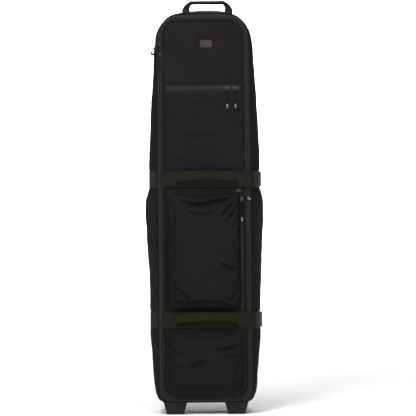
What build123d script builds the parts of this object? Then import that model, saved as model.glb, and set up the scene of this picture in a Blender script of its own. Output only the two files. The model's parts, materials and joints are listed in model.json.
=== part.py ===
"""Upright soft golf travel case on two wheels, in millimetres.

Frame: +Z up, the front panel faces -Y, origin on the floor under the middle of the case.
The front panel is a door that swings about its left edge; everything else is the case body.
"""
import os
from math import atan2, cos, degrees, radians, sin, tan

from build123d import *

# ---- driving dimensions -------------------------------------------------------------------
BASE_Z = 40.0            # underside of the fabric case, held up by feet and wheels
TOP_Z = 1247.0           # crown of the domed top
BACK_Y = 182.0           # back face
HALF_BASE = 118.0        # half width of the flat underside
SIDE_FULL_Y = 15.0       # the case has reached its full width here
OPEN_RUN = -44.0         # outlines run this far past the parting plane, to leave the shell open
PART_Y = -128.0          # plane where the front door meets the case
PANEL_Y = -143.0         # outer face of the front door
WALL = 5.0               # padded fabric wall
HALF_WAIST_UPPER = 169.0  # half width where the upper strap cinches the case
HALF_WAIST_LOWER = 168.0  # half width where the lower strap cinches the case
HALF_BELLY = 182.0       # widest half width, between the straps
HALF_FRONT = 143.0       # half width at the parting plane

DOOR_LEFT = -124.0       # straight left edge, which is also the hinge line
DOOR_RIGHT_BASE = 127.0
DOOR_RIGHT_TOP = 119.0
DOOR_BOTTOM = 58.0
DOOR_TOP = 1208.0
DOOR_CORNER_TOP = 45.0
DOOR_CORNER_BOTTOM = 40.0
BEVEL = PART_Y - PANEL_Y  # the door's edge slopes back at 45 degrees over this depth
HINGE_GAP = 0.15

STRAP_WIDTH = 50.0
STRAP_THICK = 2.4
STRAP_UPPER_Z = 722.0
STRAP_LOWER_Z = 291.0
STRAP_STANDOFF = 3.2     # the straps pass over the piping and the zip
SKIN_GAP = 0.3           # air between a curved skin and what lies on it
GRIP_RISE = 42.3         # how far a carry grip stands off its strap
GRIP_WIDTH = 26.0
GRIP_THICK = 6.0
GRIP_LIFT = 9.0          # the grip sits in the upper half of its strap

BUCKLE_WIDTH = 48.0
BUCKLE_THICK = 12.0
GUSSET_TILT = 18.435     # the flank leaves the parting plane at this angle from +Y
FLANK_LENGTH = 76.0      # flat part of the flank, where the buckles lie
CORNER_BACK = 62.0
CUT_START = (88.0, BASE_Z)   # lower back corner cut off for the wheels, as (y, z)
CUT_END = (BACK_Y, 118.0)
DOME_START_Z = 1150.0    # the back starts to bend over into the top here
DOME_FRONT_Z = 1228.0    # height of the top above the parting plane
DOME_END_Z = 1215.0

WHEEL_R = 37.5
WHEEL_WIDTH = 24.0
WHEEL_X = 105.0
AXLE_Y = 153.5
AXLE_R = 4.0
BEARING_R = 11.0
BEARING_WIDTH = 7.0
RUNNING_FIT = 0.05       # radial clearance of a part that turns on a pin

ZIP_SLIDER_LENGTH = 13.0
ZIP_SLIDER_WIDTH = 9.0
UPPER_ZIP_Z = 1000.0
MID_POCKET_TOP = 678.0
MID_POCKET_BOTTOM = 322.0
MID_POCKET_LEFT = -115.0
MID_POCKET_RIGHT = 109.0
MID_POCKET_RISE = 42.0

os.makedirs("parts", exist_ok=True)


def save(piece, name):
    """Label a finished piece and write its STEP file."""
    piece.part.label = name
    export_step(piece.part, f"parts/{name}.step")


# ---- case outlines ------------------------------------------------------------------------
def front_outline(inset):
    """Half-width of the case against height, seen from the front, drawn inset from the skin."""
    lower = HALF_WAIST_LOWER - inset
    upper = HALF_WAIST_UPPER - inset
    with BuildSketch() as outline:
        with BuildLine():
            Spline((HALF_BASE - 0.3 * inset, BASE_Z + inset), (150 - 0.9 * inset, 75 + 0.4 * inset),
                   (164 - inset, 180), (lower, 258), tangents=((1, 0.35), (0, 1)))
            Line((lower, 258), (lower, 325))
            Spline((lower, 325), (174 - inset, 480), (HALF_BELLY - inset, 612), (upper, 692),
                   tangents=((0, 1), (0, 1)))
            Line((upper, 692), (upper, 755))
            Spline((upper, 755), (161 - inset, 960), (151 - inset, 1110),
                   (126 - 0.8 * inset, 1201 - 0.6 * inset), (72 - 0.3 * inset, 1240 - inset),
                   (0, TOP_Z - inset), tangents=((0, 1), (-1, 0)))
            Line((0, TOP_Z - inset), (0, BASE_Z + inset))
            Line((0, BASE_Z + inset), (HALF_BASE - 0.3 * inset, BASE_Z + inset))
        make_face()
        mirror(about=Plane.YZ)
    return outline.sketch


def flank(s, rise=0.0, side=1):
    """A plan point on the flat flank behind the parting plane, s along it and rise off it."""
    x = HALF_FRONT + s * sin(radians(GUSSET_TILT)) + rise * cos(radians(GUSSET_TILT))
    y = PART_Y + s * cos(radians(GUSSET_TILT)) - rise * sin(radians(GUSSET_TILT))
    return (side * x, y)


def plan_outline(inset):
    """The case seen from above, run on past the parting plane so that its walls stay open there."""
    tilt = (sin(radians(GUSSET_TILT)), cos(radians(GUSSET_TILT)))
    start = flank(OPEN_RUN, -inset)
    shoulder = flank(FLANK_LENGTH, -inset)
    side_x = HALF_BELLY - inset
    back_y = BACK_Y - inset
    corner = CORNER_BACK - inset
    middle = corner * (1 - cos(radians(45)))
    with BuildSketch() as outline:
        with BuildLine():
            Line(start, shoulder)
            Spline(shoulder, (side_x, SIDE_FULL_Y), tangents=(tilt, (0, 1)))
            Line((side_x, SIDE_FULL_Y), (side_x, back_y - corner))
            ThreePointArc((side_x, back_y - corner), (side_x - middle, back_y - middle),
                          (side_x - corner, back_y))
            Line((side_x - corner, back_y), (0, back_y))
            Line((0, back_y), (0, start[1]))
            Line((0, start[1]), start)
        make_face()
        mirror(about=Plane.YZ)
    return outline.sketch


def side_outline(inset):
    """The case seen from the side: domed top, and the lower back corner cut off for the wheels."""
    cut_angle = degrees(atan2(CUT_END[1] - CUT_START[1], CUT_END[0] - CUT_START[0]))
    low_shift = inset * tan(radians(cut_angle / 2))
    high_shift = inset * tan(radians((90 - cut_angle) / 2))
    front_y = flank(OPEN_RUN)[1]
    back_y = BACK_Y - inset
    with BuildSketch() as outline:
        with BuildLine():
            Polyline((front_y, BASE_Z + inset), (CUT_START[0] - low_shift, BASE_Z + inset),
                     (back_y, CUT_END[1] + high_shift), (back_y, DOME_START_Z))
            Spline((back_y, DOME_START_Z), (150 - 0.8 * inset, 1216 - 0.7 * inset), (60, 1245 - inset),
                   (0, TOP_Z - inset), (-70, 1242 - inset), (PART_Y, DOME_FRONT_Z - inset),
                   tangents=((0, 1), (-1, -0.3)))
            Line((PART_Y, DOME_FRONT_Z - inset), (front_y, DOME_END_Z - inset))
            Line((front_y, DOME_END_Z - inset), (front_y, BASE_Z + inset))
        make_face()
    return outline.sketch


def case_solid(inset):
    """The case as a solid block, shrunk all round by inset."""
    with BuildPart() as block:
        with BuildSketch(Plane.XZ.offset(-BACK_Y - 20)):
            add(front_outline(inset))
        extrude(amount=BACK_Y + 220)
        with BuildSketch(Plane.XY):
            add(plan_outline(inset))
        extrude(amount=TOP_Z + 50, mode=Mode.INTERSECT)
        with BuildSketch(Plane.YZ.offset(-HALF_BELLY - 20)):
            add(side_outline(inset))
        extrude(amount=2 * HALF_BELLY + 40, mode=Mode.INTERSECT)
    return block.part


def slab(x_span, y_span, z_span):
    """A box given by its spans, as a plain solid for cutting."""
    with BuildPart() as block:
        with BuildSketch(Plane.XY.offset(z_span[0])):
            with Locations(((x_span[0] + x_span[1]) / 2, (y_span[0] + y_span[1]) / 2)):
                Rectangle(x_span[1] - x_span[0], y_span[1] - y_span[0])
        extrude(amount=z_span[1] - z_span[0])
    return block.part


WIDE = (-400, 400)
TALL = (-10, 1400)
OUTER = case_solid(0)
INNER = case_solid(WALL)
BACK_SEAM_Y = 152.0
TOP_SEAM_Z = 1150.0
BASE_SEAM_Z = 78.0
FOOT_X = 94.0
FOOT_Y = -99.0
SCREW_PLACES = [(side * FOOT_X + shift, FOOT_Y) for side in (-1, 1) for shift in (-side * 14, side * 10)]
SCREW_R = 2.0
SCREW_CLEARANCE = 0.1


def shell_piece(name, x_span, y_span, z_span, holes=()):
    """One fabric panel: the part of the thin shell inside a box."""
    with BuildPart() as piece:
        add(OUTER)
        add(slab(x_span, y_span, z_span), mode=Mode.INTERSECT)
        add(INNER, mode=Mode.SUBTRACT)
        if holes:
            with BuildSketch(Plane.XY.offset(z_span[0])):
                with Locations(*holes):
                    Circle(SCREW_R + SCREW_CLEARANCE)
            extrude(amount=z_span[1] - z_span[0], mode=Mode.SUBTRACT)
    save(piece, name)


shell_piece("back_panel", WIDE, (BACK_SEAM_Y, 400), TALL)
shell_piece("top_panel", WIDE, (PART_Y, BACK_SEAM_Y), (TOP_SEAM_Z, 1400))
shell_piece("side_gusset_left", (-400, 0), (PART_Y, BACK_SEAM_Y), (BASE_SEAM_Z, TOP_SEAM_Z))
shell_piece("side_gusset_right", (0, 400), (PART_Y, BACK_SEAM_Y), (BASE_SEAM_Z, TOP_SEAM_Z))
shell_piece("base_panel", WIDE, (PART_Y, BACK_SEAM_Y), (0, BASE_SEAM_Z), SCREW_PLACES)


# ---- front door: panel, edge strip on the hinge side, rim of the case ------------------------
def door_outline(grow):
    """Outline of the front door's flat face, grown outwards by grow."""
    with BuildSketch() as outline:
        with BuildLine():
            Polyline((DOOR_LEFT, DOOR_BOTTOM), (DOOR_RIGHT_BASE, DOOR_BOTTOM), (DOOR_RIGHT_TOP, DOOR_TOP),
                     (DOOR_LEFT, DOOR_TOP), close=True)
        make_face()
        fillet(outline.vertices().group_by(Axis.Y)[0], DOOR_CORNER_BOTTOM)
        fillet(outline.vertices().group_by(Axis.Y)[-1], DOOR_CORNER_TOP)
        if grow:
            offset(amount=grow)
    return outline.sketch


def front_ring(outer_grow, inner_grow, y_front, y_back):
    """A frame that follows the door's outline between two offsets."""
    with BuildPart() as ring:
        with BuildSketch(Plane.XZ.offset(-y_back)):
            add(door_outline(outer_grow))
            add(door_outline(inner_grow), mode=Mode.SUBTRACT)
        extrude(amount=y_back - y_front)
    return ring.part


with BuildPart() as bevelled_block:
    with BuildSketch(Plane.XZ.offset(-PANEL_Y)):
        add(door_outline(0))
    with BuildSketch(Plane.XZ.offset(-PART_Y)):
        add(door_outline(BEVEL))
    loft()
DOOR_BLOCK = bevelled_block.part
HINGE_SIDE = slab((-400, DOOR_LEFT - HINGE_GAP), (-400, 400), TALL)
DOOR_SIDE = slab((DOOR_LEFT + HINGE_GAP, 400), (-400, 400), TALL)

RIM_THICK = 3.0
RIM_GAP = 2.0            # the rim stays this far outside the door's face
with BuildPart() as hinge_strip:
    add(DOOR_BLOCK)
    add(HINGE_SIDE, mode=Mode.INTERSECT)
with BuildPart() as front_rim:
    add(INNER)
    add(slab(WIDE, (PART_Y, PART_Y + RIM_THICK), TALL), mode=Mode.INTERSECT)
    with BuildSketch(Plane.XZ.offset(-PART_Y - 2 * RIM_THICK)):
        add(door_outline(RIM_GAP))
    extrude(amount=3 * RIM_THICK, mode=Mode.SUBTRACT)
    add(hinge_strip.part)
save(front_rim, "front_rim")

with BuildPart() as lid_panel:
    add(DOOR_BLOCK)
    with BuildSketch(Plane.XZ.offset(-PART_Y)):
        add(door_outline(BEVEL - 2 * WALL))
    with BuildSketch(Plane.XZ.offset(-PANEL_Y - WALL)):
        add(door_outline(-WALL))
    loft(mode=Mode.SUBTRACT)
    add(DOOR_SIDE, mode=Mode.INTERSECT)
    with BuildSketch(Plane.XZ.offset(-PART_Y)):
        with Locations((DOOR_LEFT + HINGE_GAP + WALL / 2, (DOOR_TOP + DOOR_BOTTOM) / 2)):
            Rectangle(WALL, DOOR_TOP - DOOR_BOTTOM - 2 * DOOR_CORNER_TOP)
    extrude(amount=BEVEL - 0.2)
save(lid_panel, "lid_panel")

PIPING_WIDTH = 3.2
PIPING_RISE = 2.8
with BuildPart() as lid_piping:
    add(front_ring(0, -PIPING_WIDTH, PANEL_Y - PIPING_RISE, PANEL_Y))
    add(slab((DOOR_LEFT + 0.5, 400), (-400, 400), TALL), mode=Mode.INTERSECT)
save(lid_piping, "lid_piping")

COIL_OUT = 9.5
COIL_IN = 5.5
with BuildPart() as main_coil:
    add(front_ring(COIL_OUT, COIL_IN, PANEL_Y + COIL_IN, PANEL_Y + COIL_OUT))
    add(DOOR_BLOCK, mode=Mode.SUBTRACT)
with BuildPart() as main_zip_coil_case:
    add(main_coil.part)
    add(HINGE_SIDE, mode=Mode.INTERSECT)
save(main_zip_coil_case, "main_zip_coil_case")
with BuildPart() as main_zip_coil_lid:
    add(main_coil.part)
    add(DOOR_SIDE, mode=Mode.INTERSECT)
save(main_zip_coil_lid, "main_zip_coil_lid")


# ---- pockets and badge on the door -----------------------------------------------------------
def pocket_block(left, right, bottom, top, rise, corner):
    """A pillow-edged block that stands off the door's face."""
    middle = ((left + right) / 2, (bottom + top) / 2)
    with BuildPart() as block:
        with BuildSketch(Plane.XZ.offset(-PANEL_Y)):
            with Locations(middle):
                RectangleRounded(right - left, top - bottom, corner)
        with BuildSketch(Plane.XZ.offset(-PANEL_Y + rise)):
            with Locations(middle):
                RectangleRounded(right - left - 1.1 * rise, top - bottom - 1.3 * rise, corner)
        loft()
        fillet(block.faces().sort_by(Axis.Y)[0].edges(), rise * 0.3)
    return block.part


POCKET_SKIN = 3.0
MID_POCKET_CORNER = 22.0
with BuildPart() as mid_pocket:
    add(pocket_block(MID_POCKET_LEFT, MID_POCKET_RIGHT, MID_POCKET_BOTTOM, MID_POCKET_TOP,
                     MID_POCKET_RISE, MID_POCKET_CORNER))
    add(pocket_block(MID_POCKET_LEFT + POCKET_SKIN, MID_POCKET_RIGHT - POCKET_SKIN,
                     MID_POCKET_BOTTOM + POCKET_SKIN, MID_POCKET_TOP - POCKET_SKIN,
                     MID_POCKET_RISE - POCKET_SKIN, MID_POCKET_CORNER - 2), mode=Mode.SUBTRACT)
save(mid_pocket, "mid_pocket")

LOWER_PAD_SPAN = (-113, 116, 74, 256)   # left, right, bottom, top
LOWER_PAD_RISE = 20.0
LOWER_PAD_CORNER = 26.0
with BuildPart() as lower_pad:
    add(pocket_block(*LOWER_PAD_SPAN, LOWER_PAD_RISE, LOWER_PAD_CORNER))
save(lower_pad, "lower_pad")

BADGE_CENTRE = (8.0, 1136.0)
BADGE_WIDTH = 36.0
BADGE_HEIGHT = 22.0
BADGE_THICK = 1.6
BADGE_BAR_PITCH = 5.0
with BuildPart() as badge:
    with BuildSketch(Plane.XZ.offset(-PANEL_Y)):
        with Locations(BADGE_CENTRE):
            RectangleRounded(BADGE_WIDTH, BADGE_HEIGHT, 4)
    extrude(amount=BADGE_THICK)
    with BuildSketch(Plane.XZ.offset(-PANEL_Y + BADGE_THICK)):
        with Locations(BADGE_CENTRE):
            with GridLocations(0, BADGE_BAR_PITCH, 1, 3):
                Rectangle(BADGE_WIDTH - 12, 2.2)
    extrude(amount=0.8)
save(badge, "badge")


# ---- webbing straps --------------------------------------------------------------------------
def ribbon(points, thick, z_centre, width):
    """Webbing stood on edge: a plan path drawn along its inner face, given thickness and height."""
    with BuildPart() as band:
        with BuildSketch(Plane.XY.offset(z_centre - width / 2)):
            with BuildLine():
                inner = Polyline(*points)
                offset(inner, amount=thick, side=Side.RIGHT, closed=True)
            make_face()
        extrude(amount=width)
    return band.part


STRAP_LEVELS = (("upper", STRAP_UPPER_Z), ("lower", STRAP_LOWER_Z))
STRAP_WAISTS = ((STRAP_UPPER_Z, HALF_WAIST_UPPER), (STRAP_LOWER_Z, HALF_WAIST_LOWER))
BUCKLE_START = 9.0        # along the flank, from the parting plane
SOCKET_START = 30.0
SOCKET_END = 66.0
SIDE_STRAP_END_Y = 140.0
SIDE_STRAP_BEND_Y = -40.0
SIDE_STRAP_RISE = 0.4     # stands this far off the case where it runs straight back
FLANK_BEND = 81.0         # the strap leaves the flat flank here
RIGHT_STRAP_WIDTH = STRAP_WIDTH - 10

with BuildPart() as left_straps:
    for z_level, half_waist in STRAP_WAISTS:
        run_x = -half_waist - SIDE_STRAP_RISE
        bevel_start = (DOOR_LEFT - COIL_OUT - 1, PANEL_Y + COIL_OUT + 1 - SKIN_GAP)
        path = [(run_x, SIDE_STRAP_END_Y), (run_x, SIDE_STRAP_BEND_Y), flank(FLANK_BEND, 0.5, -1),
                flank(0, SKIN_GAP, -1), bevel_start]
        add(ribbon(path, STRAP_THICK, z_level, STRAP_WIDTH))
save(left_straps, "left_straps")

with BuildPart() as right_straps:
    for z_level, half_waist in STRAP_WAISTS:
        run_x = half_waist + SIDE_STRAP_RISE
        path = [flank(SOCKET_END + 0.6, SKIN_GAP), flank(FLANK_BEND, 0.5), (run_x, SIDE_STRAP_BEND_Y),
                (run_x, SIDE_STRAP_END_Y)]
        add(ribbon(path, STRAP_THICK, z_level, RIGHT_STRAP_WIDTH))
save(right_straps, "right_straps")

GRIP_ENDS = ((-102, 30), (111, 20))     # middle and length of each sewn end
GRIP_LEFT = -92.0
GRIP_RIGHT = 104.0
GRIP_MIDDLE = 5.0
GRIP_SHOULDER = 12.0      # the grip's shoulders lie this far below its crown
GRIP_FOOT = GRIP_THICK * 1.6
STRAP_EDGE_X = DOOR_RIGHT_BASE + 6.0
for level, z_level in STRAP_LEVELS:
    with BuildPart() as strap_front:
        bevel_top = STRAP_EDGE_X - STRAP_STANDOFF
        path = [(DOOR_LEFT + 3, PANEL_Y - STRAP_STANDOFF), (bevel_top, PANEL_Y - STRAP_STANDOFF),
                (bevel_top + BEVEL + 1, PART_Y + 1 - STRAP_STANDOFF),
                flank(BUCKLE_START - 0.6, STRAP_STANDOFF)]
        add(ribbon(path, STRAP_THICK, z_level, STRAP_WIDTH))
    save(strap_front, f"strap_{level}_front")

    with BuildPart() as grip:
        grip_z = z_level + GRIP_LIFT
        base_y = PANEL_Y - STRAP_STANDOFF - STRAP_THICK - 0.1
        for end_x, end_length in GRIP_ENDS:
            with BuildSketch(Plane.XZ.offset(-base_y)):
                with Locations((end_x, z_level)):
                    Rectangle(end_length, STRAP_WIDTH - 6)
            extrude(amount=GRIP_THICK / 2)
        with BuildSketch(Plane.XY.offset(grip_z - GRIP_WIDTH / 2)):
            with BuildLine():
                crown_y = base_y - GRIP_RISE
                outer_y = crown_y + GRIP_SHOULDER
                inner_y = outer_y + GRIP_THICK
                Spline((GRIP_LEFT, base_y), (GRIP_LEFT + 32, outer_y), (GRIP_MIDDLE, crown_y),
                       (GRIP_RIGHT - 32, outer_y), (GRIP_RIGHT, base_y))
                Line((GRIP_RIGHT, base_y), (GRIP_RIGHT - GRIP_FOOT, base_y))
                Spline((GRIP_RIGHT - GRIP_FOOT, base_y), (GRIP_RIGHT - 34, inner_y),
                       (GRIP_MIDDLE, crown_y + GRIP_THICK), (GRIP_LEFT + 34, inner_y),
                       (GRIP_LEFT + GRIP_FOOT, base_y))
                Line((GRIP_LEFT + GRIP_FOOT, base_y), (GRIP_LEFT, base_y))
            make_face()
        extrude(amount=GRIP_WIDTH)
    save(grip, f"grip_{level}")


# ---- side release buckles on the right flank ---------------------------------------------------
def buckle_plane(z_level):
    """Local x runs back along the flank, y up, z straight off the flank."""
    tilt = radians(GUSSET_TILT)
    x, y = flank(0, SKIN_GAP)
    return Plane(origin=(x, y, z_level), x_dir=(sin(tilt), cos(tilt), 0), z_dir=(cos(tilt), -sin(tilt), 0))


SOCKET_WALL = 2.4
BUCKLE_CORNER = 4.0
SOCKET_MIDDLE = (SOCKET_START + SOCKET_END) / 2
SOCKET_LENGTH = SOCKET_END - SOCKET_START
MOUTH_DEPTH = 30.0
PRONG_LENGTH = 26.0
PRONG_WIDTH = 6.0
PLUG_LENGTH = SOCKET_START - 0.4 - BUCKLE_START
PLUG_INNER = BUCKLE_WIDTH - 2 * SOCKET_WALL - 1.2
for level, z_level in STRAP_LEVELS:
    seat = buckle_plane(z_level)
    with BuildPart(seat) as socket:
        with BuildSketch(seat):
            with Locations((SOCKET_MIDDLE, 0)):
                RectangleRounded(SOCKET_LENGTH, BUCKLE_WIDTH, BUCKLE_CORNER)
        extrude(amount=BUCKLE_THICK)
        fillet(socket.faces().sort_by(Axis(seat.origin, seat.z_dir))[-1].edges(), 2.2)
        mouth = seat.offset(SOCKET_WALL)
        with BuildSketch(mouth):
            with Locations((SOCKET_START - 2 + MOUTH_DEPTH / 2, 0)):
                Rectangle(MOUTH_DEPTH, BUCKLE_WIDTH - 2 * SOCKET_WALL)
        extrude(amount=BUCKLE_THICK - 2 * SOCKET_WALL, mode=Mode.SUBTRACT)
        with BuildSketch(seat.offset(SOCKET_WALL + 0.8)):
            for side in (-1, 1):
                with Locations((SOCKET_START + 17, side * BUCKLE_WIDTH / 2)):
                    Rectangle(14, 8)
        extrude(amount=BUCKLE_THICK - 2 * SOCKET_WALL - 1.6, mode=Mode.SUBTRACT)
    save(socket, f"buckle_socket_{level}")

    with BuildPart(seat) as plug:
        with BuildSketch(seat):
            with Locations((BUCKLE_START + PLUG_LENGTH / 2, 0)):
                RectangleRounded(PLUG_LENGTH, BUCKLE_WIDTH, BUCKLE_CORNER)
            with Locations((BUCKLE_START + 8, 0)):
                Rectangle(5.5, BUCKLE_WIDTH - 10, mode=Mode.SUBTRACT)
        extrude(amount=BUCKLE_THICK - 1)
        with BuildSketch(seat.offset(SOCKET_WALL + 0.5)):
            with Locations((SOCKET_START + 10, 0)):
                Rectangle(24, 9)
            for side in (-1, 1):
                with Locations((SOCKET_START - 2 + PRONG_LENGTH / 2, side * (PLUG_INNER / 2 - 3.2))):
                    Rectangle(PRONG_LENGTH, PRONG_WIDTH)
        extrude(amount=BUCKLE_THICK - 2 * SOCKET_WALL - 1)
    save(plug, f"buckle_plug_{level}")


# ---- zips on the door ------------------------------------------------------------------------
UPPER_ZIP_X = -1.0
UPPER_ZIP_LENGTH = 232.0
TAPE_WIDTH = 20.0
TAPE_THICK = 0.8
COIL_WIDTH = 5.0
COIL_RISE = 1.8
with BuildPart() as upper_pocket_zip:
    with BuildSketch(Plane.XZ.offset(-PANEL_Y)):
        with Locations((UPPER_ZIP_X, UPPER_ZIP_Z)):
            Rectangle(UPPER_ZIP_LENGTH, TAPE_WIDTH)
    extrude(amount=TAPE_THICK)
    with BuildSketch(Plane.XZ.offset(-PANEL_Y + TAPE_THICK)):
        with Locations((UPPER_ZIP_X, UPPER_ZIP_Z)):
            Rectangle(UPPER_ZIP_LENGTH - 2, COIL_WIDTH)
    extrude(amount=COIL_RISE)
save(upper_pocket_zip, "upper_pocket_zip")

MID_ZIP_X = 114.0
MID_ZIP_Z = 686.5
MID_COIL = 4.0
MID_ZIP_END = 326.0
with BuildPart() as mid_pocket_zip:
    with BuildSketch(Plane.XZ.offset(-PANEL_Y)):
        with Locations((MID_ZIP_X, (MID_ZIP_Z + MID_ZIP_END) / 2)):
            Rectangle(MID_COIL, MID_ZIP_Z - MID_ZIP_END)
        with Locations((0, MID_ZIP_Z)):
            Rectangle(2 * MID_ZIP_X + MID_COIL, MID_COIL)
    extrude(amount=COIL_RISE)
save(mid_pocket_zip, "mid_pocket_zip")

SLIDER_GAP = 0.35         # air between a slider and its coil
SLIDER_PLATE = 1.6
SLIDER_FLANGE = 0.9       # thickness of the two flanges beside the coil, and their height off the tape
BRIDGE_RISE = 2.6
PULL_NECK = 7.0
PULL_END_LENGTH = 18.0
PULL_END_R = 3.3


def zip_slider(plane, along, coil_rise, coil_width):
    """A slider astride a coil; along is its length direction in the plane, 0 for x and 90 for y."""
    plate_low = coil_rise + SLIDER_GAP
    with BuildPart() as slider:
        with BuildSketch(plane.offset(plate_low)):
            RectangleRounded(ZIP_SLIDER_LENGTH, ZIP_SLIDER_WIDTH, 2.5, rotation=along)
        extrude(amount=SLIDER_PLATE)
        with BuildSketch(plane.offset(plate_low + SLIDER_PLATE)):
            Rectangle(6, 2.4, rotation=along)
        extrude(amount=BRIDGE_RISE)
        with BuildSketch(plane.offset(SLIDER_FLANGE)):
            shift = coil_width / 2 + SLIDER_GAP + SLIDER_FLANGE / 2
            turn = radians(along)
            for side in (-1, 1):
                with Locations((-sin(turn) * side * shift, cos(turn) * side * shift)):
                    Rectangle(ZIP_SLIDER_LENGTH - 5, SLIDER_FLANGE, rotation=along)
        extrude(amount=plate_low - SLIDER_FLANGE)
    return slider


def zip_pull(hinge, direction, length, loop):
    """A cord pull that hangs from a slider's bridge, from hinge along direction."""
    with BuildPart() as pull:
        shaft = Plane(origin=hinge, z_dir=direction)
        with BuildSketch(shaft.offset(PULL_NECK - 3)):
            Circle(1.3)
        extrude(amount=6)
        with BuildSketch(shaft.offset(PULL_NECK)):
            if loop:
                SlotOverall(11, 3.2)
            else:
                Circle(2.4)
        extrude(amount=length - PULL_NECK - PULL_END_LENGTH + 2)
        with BuildSketch(shaft.offset(length - PULL_END_LENGTH)):
            Circle(PULL_END_R)
        extrude(amount=PULL_END_LENGTH)
        fillet(pull.faces().sort_by(Axis(shaft.origin, shaft.z_dir))[-1].edges(), 1.6)
    return pull


BEVEL_NORMAL = (-cos(radians(45)), -sin(radians(45)), 0)
DOOR_NORMAL = (0, -1, 0)
COIL_MIDDLE = (COIL_OUT + COIL_IN) / 2
DOOR_COIL_RISE = TAPE_THICK + COIL_RISE
BEVEL_COIL_RISE = 2.9
BEVEL_COIL_WIDTH = 5.7
HINGE_RISE = 5.0          # a pull turns this far above its coil


def bevel_seat(z):
    """A zip slider's seat on the sloping strip at the hinge side."""
    return Plane(origin=(DOOR_LEFT - COIL_MIDDLE, PANEL_Y + COIL_MIDDLE, z), x_dir=(0, 0, 1),
                 z_dir=BEVEL_NORMAL)


def door_seat(x, z):
    """A zip slider's seat on the flat face of the door."""
    return Plane(origin=(x, PANEL_Y, z), x_dir=(1, 0, 0), z_dir=DOOR_NORMAL)


DOWN = (0, 0, -1)
OUT_LEFT = (-0.46, -0.46, -0.76)
OUT_RIGHT = (0.62, -0.62, -0.48)
# name, seat, direction along the coil, coil rise, coil width, pull direction, pull length, loop or not
ZIPS = (
    ("main_upper", bevel_seat(1135), 0, BEVEL_COIL_RISE, BEVEL_COIL_WIDTH, OUT_LEFT, 46, True),
    ("main_lower", bevel_seat(1104), 0, BEVEL_COIL_RISE, BEVEL_COIL_WIDTH, DOWN, 50, True),
    ("upper_pocket_left", door_seat(72, UPPER_ZIP_Z), 0, DOOR_COIL_RISE, COIL_WIDTH, DOWN, 62, False),
    ("upper_pocket_right", door_seat(97, UPPER_ZIP_Z), 0, DOOR_COIL_RISE, COIL_WIDTH, DOWN, 62, False),
    ("mid_pocket_top", door_seat(104, MID_ZIP_Z), 0, COIL_RISE, MID_COIL, OUT_RIGHT, 58, False),
    ("mid_pocket_side", door_seat(MID_ZIP_X, 660), 90, COIL_RISE, MID_COIL, DOWN, 68, False),
)
for zip_name, seat, along, coil_rise, coil_width, direction, length, loop in ZIPS:
    slider = zip_slider(seat, along, coil_rise, coil_width)
    save(slider, f"slider_{zip_name}")
    hinge_point = seat.offset(coil_rise + HINGE_RISE).origin
    pull = zip_pull(hinge_point, direction, length, loop)
    save(pull, f"pull_{zip_name}")


# ---- top handle ------------------------------------------------------------------------------
HANDLE_X = 13.0
HANDLE_Y = -98.0
HANDLE_PIVOT_Z = 1239.5
HANDLE_TOP_Z = 1264.0
GRIP_HALF = 54.0
GRIP_HIGH = 12.0
GRIP_DEEP = 17.0
LEG_INNER = GRIP_HALF + 0.4
LEG_OUTER = GRIP_HALF + 24.0
LEG_SHOULDER = LEG_INNER + 6.0
LEG_TIP = LEG_INNER + 1.5
WEB_THICK = 3.0
WEB_HALF = 4.0          # half height of the webbing inside the grip


def on_handle(x, z):
    """A front-view point of the handle, x measured from its middle."""
    return (HANDLE_X + x, z)


with BuildPart() as top_handle_webbing:
    with BuildSketch(Plane.XZ.offset(-HANDLE_Y - WEB_THICK / 2)):
        with BuildLine():
            Polyline(on_handle(-LEG_OUTER, HANDLE_PIVOT_Z), on_handle(-LEG_INNER, HANDLE_PIVOT_Z),
                     on_handle(-LEG_INNER, HANDLE_TOP_Z - WEB_HALF),
                     on_handle(LEG_INNER, HANDLE_TOP_Z - WEB_HALF),
                     on_handle(LEG_INNER, HANDLE_PIVOT_Z), on_handle(LEG_OUTER, HANDLE_PIVOT_Z),
                     on_handle(LEG_SHOULDER, HANDLE_TOP_Z), on_handle(LEG_TIP, HANDLE_TOP_Z + WEB_HALF),
                     on_handle(-LEG_TIP, HANDLE_TOP_Z + WEB_HALF), on_handle(-LEG_SHOULDER, HANDLE_TOP_Z),
                     close=True)
        make_face()
    extrude(amount=WEB_THICK)
save(top_handle_webbing, "top_handle_webbing")

with BuildPart() as top_handle_grip:
    with BuildSketch(Plane.YZ.offset(HANDLE_X - GRIP_HALF)):
        with Locations((HANDLE_Y, HANDLE_TOP_Z)):
            RectangleRounded(GRIP_DEEP, GRIP_HIGH, GRIP_HIGH / 2 - 0.5)
            Rectangle(WEB_THICK + 0.4, 2 * WEB_HALF + 0.4, mode=Mode.SUBTRACT)
    extrude(amount=2 * GRIP_HALF)
save(top_handle_grip, "top_handle_grip")

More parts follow.
